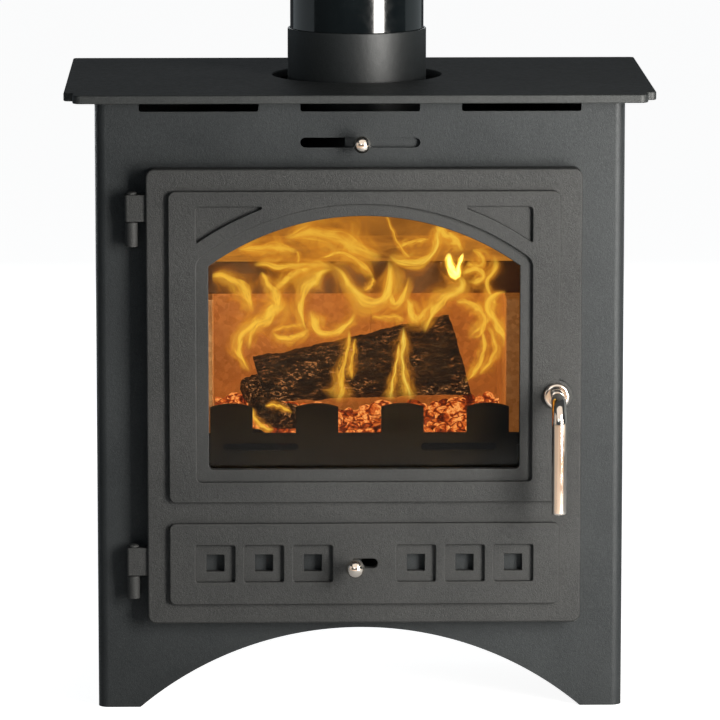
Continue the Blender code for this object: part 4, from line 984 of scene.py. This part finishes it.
def embers():
    bm = bmesh.new()
    nx, ny = 92, 64
    x0, x1, y0, y1 = -138.6, 138.6, 31.0, 228.5
    top = [[bm.verts.new(D(x0 + (x1 - x0) * i / nx, y0 + (y1 - y0) * j / ny,
                           bed_height(x0 + (x1 - x0) * i / nx, y0 + (y1 - y0) * j / ny)
                           - (9.0 if j == 0 else 2.0 if j == 1 else 0.0)))
            for j in range(ny + 1)] for i in range(nx + 1)]
    for i in range(nx):
        for j in range(ny):
            bm.faces.new((top[i][j], top[i + 1][j], top[i + 1][j + 1], top[i][j + 1]))
    rim = ([top[i][0] for i in range(nx + 1)] + [top[nx][j] for j in range(1, ny + 1)]
           + [top[i][ny] for i in range(nx - 1, -1, -1)] + [top[0][j] for j in range(ny - 1, 0, -1)])
    foot = [bm.verts.new((v.co.x, v.co.y, 0.2024)) for v in rim]
    n = len(rim)
    for i in range(n):
        bm.faces.new((rim[i], foot[i], foot[(i + 1) % n], rim[(i + 1) % n]))
    bm.faces.new(foot)
    bmesh.ops.recalc_face_normals(bm, faces=bm.faces)
    new_piece("fire_ember_bed", bm, M["coal"])

    rng = random.Random(5)
    bm = bmesh.new()
    spots = []
    for _ in range(4000):
        x, y = rng.uniform(-131, 131), rng.uniform(40, 215)
        r = rng.uniform(5.0, 11.0)
        if y > 140 and rng.random() < 0.65:
            continue
        if all((x - a) ** 2 + (y - b) ** 2 > (0.80 * (r + c)) ** 2 for a, b, c in spots):
            spots.append((x, y, r))
        if len(spots) >= 170:
            break
    for x, y, r in spots:
        made = bmesh.ops.create_icosphere(bm, subdivisions=2, radius=1.0)["verts"]
        turn = Matrix.Rotation(rng.uniform(0, 6.3), 3, "Z") @ Matrix.Rotation(rng.uniform(-0.6, 0.6), 3, "X")
        sx, sy, sz = rng.uniform(0.8, 1.35), rng.uniform(0.75, 1.1), rng.uniform(0.55, 0.9)
        seed = rng.uniform(0, 90)
        planes = [(Vector((rng.uniform(-1, 1), rng.uniform(-1, 1), rng.uniform(-1, 1))).normalized(),
                   rng.uniform(0.55, 0.8)) for _ in range(7)]
        for v in made:
            p = v.co.copy()
            for nrm, d in planes:          # flat broken faces
                over = p.dot(nrm) - d
                if over > 0:
                    p -= nrm * over * 0.85
            p *= 1 + 0.12 * noise.noise(p * 2.3 + Vector((seed, 0, 0)))
            p = turn @ Vector((p.x * sx, p.y * sy, p.z * sz)) * r
            v.co = D(x + p.x, y + p.y, bed_height(x, y) + r * 0.25 + p.z)
    new_piece("fire_coals", bm, M["coal"], 32)


M["coal"] = coal_material()
embers()


def log_material():
    """Charred bark: black ridges, ash on the crests, ember flecks in the cracks."""
    k = Mat("fire_charred_log", Roughness=0.9, Specular_IOR_Level=0.25)
    grain_at = k.scaled(52, 210, 210, src=k.warp(0.012, 55.0))
    ridges = k.noise(1.0, 6.0, 0.70, 0.6, src=grain_at)
    chips = k.noise(1.0, 4.0, 0.72, 0.3, src=k.scaled(190, 420, 420, src=k.warp(0.004, 150.0)))
    cross = k.voronoi(1.0, "DISTANCE_TO_EDGE", src=k.scaled(60, 150, 150, src=k.warp(0.008, 60.0)))
    patch = k.noise(24.0, 3.0, 0.6)
    k.link(k.ramp(ridges, [(0.32, (0.003, 0.002, 0.001)), (0.50, (0.018, 0.011, 0.005)), (0.62, (0.050, 0.031, 0.012)),
                           (0.78, (0.13, 0.082, 0.034))]), "Base Color")
    fleck = k.math("MULTIPLY", k.remap(chips, 0.524, 0.580, 0.0, 1.0, True), k.remap(cross, 0.01, 0.06, 0.0, 1.0, True))
    fleck = k.math("MULTIPLY", fleck, k.remap(ridges, 0.44, 0.54, 0.0, 1.0, True))
    low = k.remap(k.axis(2), 0.350, 0.270, 0.45, 1.0, True)
    fleck = k.math("MULTIPLY", k.math("MULTIPLY", fleck, k.remap(patch, 0.40, 0.56, 0.10, 1.0, True)), low)
    k.link(k.ramp(fleck, [(0.0, (0.006, 0.004, 0.001)), (0.20, (0.14, 0.045, 0.010)), (0.55, (0.50, 0.21, 0.065)),
                          (1.0, (0.74, 0.38, 0.15))]), "Emission Color")
    k.link(k.remap(fleck, 0.0, 1.0, 0.7, 0.9), "Emission Strength")
    k.link(k.bump(k.math("ADD", ridges, k.math("MULTIPLY", cross, 0.6)), 0.006, 1.0), "Normal")
    return k.m


def log_piece(name, start, end, r0, r1, outline, seed, rough=1.6, rings=110, sides=64, lean=0.0):
    """A split log: a cross section of straight and barked sides, swept and roughened."""
    bm = bmesh.new()
    a, b = Vector(start), Vector(end)
    axis = (b - a).normalized()
    side = Vector((0, 0, 1)).cross(axis).normalized()
    top = axis.cross(side).normalized()
    count = len(outline)
    loops = []
    for i in range(rings + 1):
        t = i / rings
        r = r0 + (r1 - r0) * t
        r *= 1 + 0.035 * math.sin(t * 5.0 + seed)
        c = a.lerp(b, t)
        ring = []
        for k in range(sides):
            f = k / sides * count
            i0 = int(f) % count
            w = f - int(f)
            w = w * w * (3 - 2 * w) * 0.35 + w * 0.65
            p = Vector(outline[i0]).lerp(Vector(outline[(i0 + 1) % count]), w)
            q = c + (side * p.x + top * p.y) * r
            n1 = noise.noise(Vector((q.x * 0.018 + seed, q.y * 0.09, q.z * 0.09)))
            n2 = noise.noise(Vector((q.x * 0.06 + seed, q.y * 0.28, q.z * 0.28)))
            n3 = noise.noise(Vector((q.x * 0.2, q.y * 0.6 + seed, q.z * 0.6)))
            grow = 1 + (rough * 1.6 * n1 + rough * 1.1 * n2 + rough * 0.5 * n3) / max(r, 1)
            q = c + (side * p.x + top * p.y) * r * grow
            q += axis * (lean * (p.y * r) + 0.8 * n2)
            ring.append(bm.verts.new(D(*q)))
        loops.append(ring)
    for l0, l1 in zip(loops, loops[1:]):
        for k in range(sides):
            bm.faces.new((l0[k], l0[(k + 1) % sides], l1[(k + 1) % sides], l1[k]))
    for ring, c in ((loops[0], a), (loops[-1], b)):
        inner = [bm.verts.new(D(*c).lerp(v.co, 0.55)) for v in ring]
        mid = bm.verts.new(D(*c))
        for k in range(sides):
            bm.faces.new((ring[k], ring[(k + 1) % sides], inner[(k + 1) % sides], inner[k]))
            bm.faces.new((inner[k], inner[(k + 1) % sides], mid))
    bmesh.ops.recalc_face_normals(bm, faces=bm.faces)
    return new_piece(name, bm, M["log"], 50)


M["log"] = log_material()
split = [(-0.95, -0.10), (-0.80, 0.55), (-0.35, 0.95), (0.25, 1.0), (0.75, 0.72), (1.0, 0.15), (0.85, -0.55),
         (0.30, -0.98), (-0.45, -0.95), (-0.85, -0.60)]
s_left, s_right = behind(-99.0, 318.5, 118), behind(90.0, 341.0, 128)
log_piece("fire_log_main", s_left, s_right, 21.5, 38.0, split, 2.7, lean=-0.16)
c_left, c_right = behind(-110.0, 305.0, 150), behind(-70.0, 322.0, 175)
log_piece("fire_log_behind", c_left, c_right, 13.0, 16.0, split, 9.1, rings=50, sides=40)
d_left, d_right = behind(-103.0, 291.0, 48), behind(-62.0, 278.0, 96)
log_piece("fire_log_front", d_left, d_right, 10.0, 15.0, split, 5.3, rings=50, sides=40)


def fire_light(name, x, y, z, power, radius, colour=(1.0, 0.47, 0.13)):
    data = bpy.data.lights.new(name, "POINT")
    data.energy, data.shadow_soft_size, data.color = power, radius, colour
    ob = bpy.data.objects.new(name, data)
    ob.location = D(x, y, z)
    ob.visible_camera = ob.visible_glossy = ob.visible_transmission = False
    bpy.context.scene.collection.objects.link(ob)


for i, (x, y, z, p) in enumerate(((-60, 46, 345, 0.16), (60, 46, 345, 0.16), (-60, 150, 365, 0.10), (60, 150, 365, 0.10),
                                  (0, 46, 290, 0.10))):
    fire_light("firelight_%d" % (i + 1), x, y, z, p, 0.022)

# ---------------------------------------------------------------- the setting
def seen_directly(tree, path):
    """1 for what the camera sees straight or through glass, 0 for bounced light."""
    def node(op, a, b):
        n = tree.nodes.new("ShaderNodeMath")
        n.operation = op
        for socket, v in zip(n.inputs, (a, b)):
            if isinstance(v, (int, float)):
                socket.default_value = v
            else:
                tree.links.new(v, socket)
        return n.outputs[0]
    bounces = node("ADD", path.outputs["Diffuse Depth"], path.outputs["Glossy Depth"])
    through = node("MULTIPLY", path.outputs["Is Transmission Ray"], node("LESS_THAN", bounces, 0.5))
    return node("MAXIMUM", path.outputs["Is Camera Ray"], through)


floor_mesh = bpy.data.meshes.new("studio_floor")
bm = bmesh.new()
bmesh.ops.create_grid(bm, x_segments=2, y_segments=2, size=30.0)
bm.to_mesh(floor_mesh)
bm.free()
floor = bpy.data.objects.new("studio_floor", floor_mesh)
floor.location.z = -0.0003
bpy.context.scene.collection.objects.link(floor)
k = Mat("studio_floor_white", Base_Color=(0.62, 0.63, 0.64, 1), Roughness=0.9, Specular_IOR_Level=0.0)
white = k.nt.nodes.new("ShaderNodeEmission")
white.inputs["Color"].default_value = (1, 1, 1, 1)
white.inputs["Strength"].default_value = 0.93
both = k.nt.nodes.new("ShaderNodeAddShader")
pick = k.nt.nodes.new("ShaderNodeMixShader")
ray = k.nt.nodes.new("ShaderNodeLightPath")
k.nt.links.new(seen_directly(k.nt, ray), pick.inputs[0])
k.nt.links.new(k.b.outputs[0], both.inputs[0])
k.nt.links.new(white.outputs[0], both.inputs[1])
k.nt.links.new(k.b.outputs[0], pick.inputs[1])
k.nt.links.new(both.outputs[0], pick.inputs[2])
k.nt.links.new(pick.outputs[0], k.nt.nodes["Material Output"].inputs["Surface"])
dress(floor, k.m)

world = bpy.data.worlds.new("studio")
bpy.context.scene.world = world
world.use_nodes = True
wt = world.node_tree
wt.nodes.clear()
out = wt.nodes.new("ShaderNodeOutputWorld")
lit = wt.nodes.new("ShaderNodeBackground")
seen = wt.nodes.new("ShaderNodeBackground")
mixer = wt.nodes.new("ShaderNodeMixShader")
path = wt.nodes.new("ShaderNodeLightPath")
lit.inputs["Color"].default_value = (0.86, 0.94, 1.0, 1)
lit.inputs["Strength"].default_value = 0.06
seen.inputs["Color"].default_value = (1, 1, 1, 1)
seen.inputs["Strength"].default_value = 1.0
wt.links.new(seen_directly(wt, path), mixer.inputs[0])
wt.links.new(lit.outputs[0], mixer.inputs[1])
wt.links.new(seen.outputs[0], mixer.inputs[2])
wt.links.new(mixer.outputs[0], out.inputs[0])


def area(name, azimuth, elevation, distance, width, height, power, colour=(1, 1, 1), aim=(0, 0, 0.36)):
    """A softbox seen from the stove at that azimuth, 0 in front and 90 on its right."""
    a, e = math.radians(azimuth), math.radians(elevation)
    aim = Vector(aim)
    spot = aim + distance * Vector((math.sin(a) * math.cos(e), -math.cos(a) * math.cos(e), math.sin(e)))
    data = bpy.data.lights.new(name, "AREA")
    data.shape = "RECTANGLE"
    data.size, data.size_y, data.energy, data.color = width, height, power, colour
    ob = bpy.data.objects.new(name, data)
    ob.location = spot
    ob.rotation_mode = "QUATERNION"
    ob.rotation_quaternion = (aim - spot).to_track_quat("-Z", "Y")
    ob.visible_camera = False
    bpy.context.scene.collection.objects.link(ob)
    return ob


area("softbox_key", 38, 7, 1.35, 0.44, 0.92, 28.0, (1.0, 0.965, 0.915))
area("softbox_front", -12, 14, 3.0, 0.9, 0.6, 2.5, (0.86, 0.95, 1.0))
area("softbox_left", -112, 8, 2.4, 3.0, 1.4, 3.0, (0.84, 0.95, 1.0))
area("softbox_right", 120, 8, 2.4, 2.6, 1.4, 2.4, (0.88, 0.98, 1.0))
back = area("softbox_back", 180, 20, 2.6, 1.6, 1.2, 16.0, (0.92, 0.97, 1.0))
# the light at the back would haze the top plate, so it is left out
keep_off = bpy.data.collections.new("kept_off_the_top")
keep_off.objects.link(bpy.data.objects["top_plate_steel"])
back.light_linking.receiver_collection = keep_off
keep_off.collection_objects[0].light_linking.link_state = "EXCLUDE"
plate_only = bpy.data.collections.new("top_plate_alone")
plate_only.objects.link(bpy.data.objects["top_plate_steel"])
area("softbox_plate", 180, 34, 2.8, 1.4, 0.8, 1.2, (0.92, 0.97, 1.0)).light_linking.receiver_collection = plate_only
# the plain sides and back get a light of their own
shell_only = bpy.data.collections.new("casing_sides_and_back")
for shell_name in ("casing_shell", "back_panel"):
    shell_only.objects.link(bpy.data.objects[shell_name])
for shell_light in (area("softbox_far_left", -138, 12, 2.6, 1.4, 1.2, 38.0, (0.94, 0.98, 1.0)),
                    area("softbox_far_right", 138, 12, 2.6, 1.4, 1.2, 14.0, (0.96, 0.99, 1.0))):
    shell_light.light_linking.receiver_collection = shell_only

# warm cards that only the bright metal picks up
shiny = bpy.data.collections.new("bright_metal")
for ob in list(bpy.context.scene.objects):
    if ob.type == "MESH" and ob.data.materials and ob.data.materials[0] == M["chrome"]:
        shiny.objects.link(ob)


def card(name, centre, towards, width, height, level, colour):
    data = bpy.data.lights.new(name, "AREA")
    data.shape = "RECTANGLE"
    data.size, data.size_y, data.color = width, height, colour
    data.energy = level * math.pi * width * height
    ob = bpy.data.objects.new(name, data)
    ob.location = centre
    ob.rotation_mode = "QUATERNION"
    ob.rotation_quaternion = (Vector(towards) - Vector(centre)).to_track_quat("-Z", "Y")
    ob.visible_camera = False
    bpy.context.scene.collection.objects.link(ob)
    ob.light_linking.receiver_collection = shiny
    return ob


card("card_floor_left", (-1.7, -2.6, 0.002), (-1.7, -2.6, 1.0), 2.2, 4.4, 0.44, (1.0, 0.70, 0.45))
card("card_floor_middle", (0.55, -2.9, 0.002), (0.55, -2.9, 1.0), 2.2, 4.4, 0.66, (1.0, 0.68, 0.44))
card("card_floor_right", (2.7, -2.2, 0.002), (2.7, -2.2, 1.0), 2.0, 4.4, 1.15, (1.0, 0.86, 0.68))
card("card_above", (0.3, -1.9, 2.1), (0.1, -0.2, 0.4), 4.4, 3.0, 0.90, (1.0, 0.88, 0.76))
card("card_left", (-2.4, -1.3, 0.9), (0.0, -0.15, 0.4), 1.4, 1.6, 0.55, (1.0, 0.84, 0.70))

# ----------------------------------------------------------------- the camera
cam = bpy.data.cameras.new("camera")
cam.lens = 277.5
cam.sensor_width = 36.0
cam.clip_start, cam.clip_end = 0.1, 100.0
cam_ob = bpy.data.objects.new("camera", cam)
cam_ob.location = D(-106.1, -5188.5, 1173.3)
pitch, yaw = 0.1601, 0.0204
look = Vector((math.sin(yaw) * math.cos(pitch), math.cos(yaw) * math.cos(pitch), -math.sin(pitch)))
cam_ob.rotation_mode = "QUATERNION"
cam_ob.rotation_quaternion = look.to_track_quat("-Z", "Y")
bpy.context.scene.collection.objects.link(cam_ob)
bpy.context.scene.camera = cam_ob
bpy.context.scene.view_settings.view_transform = "Standard"
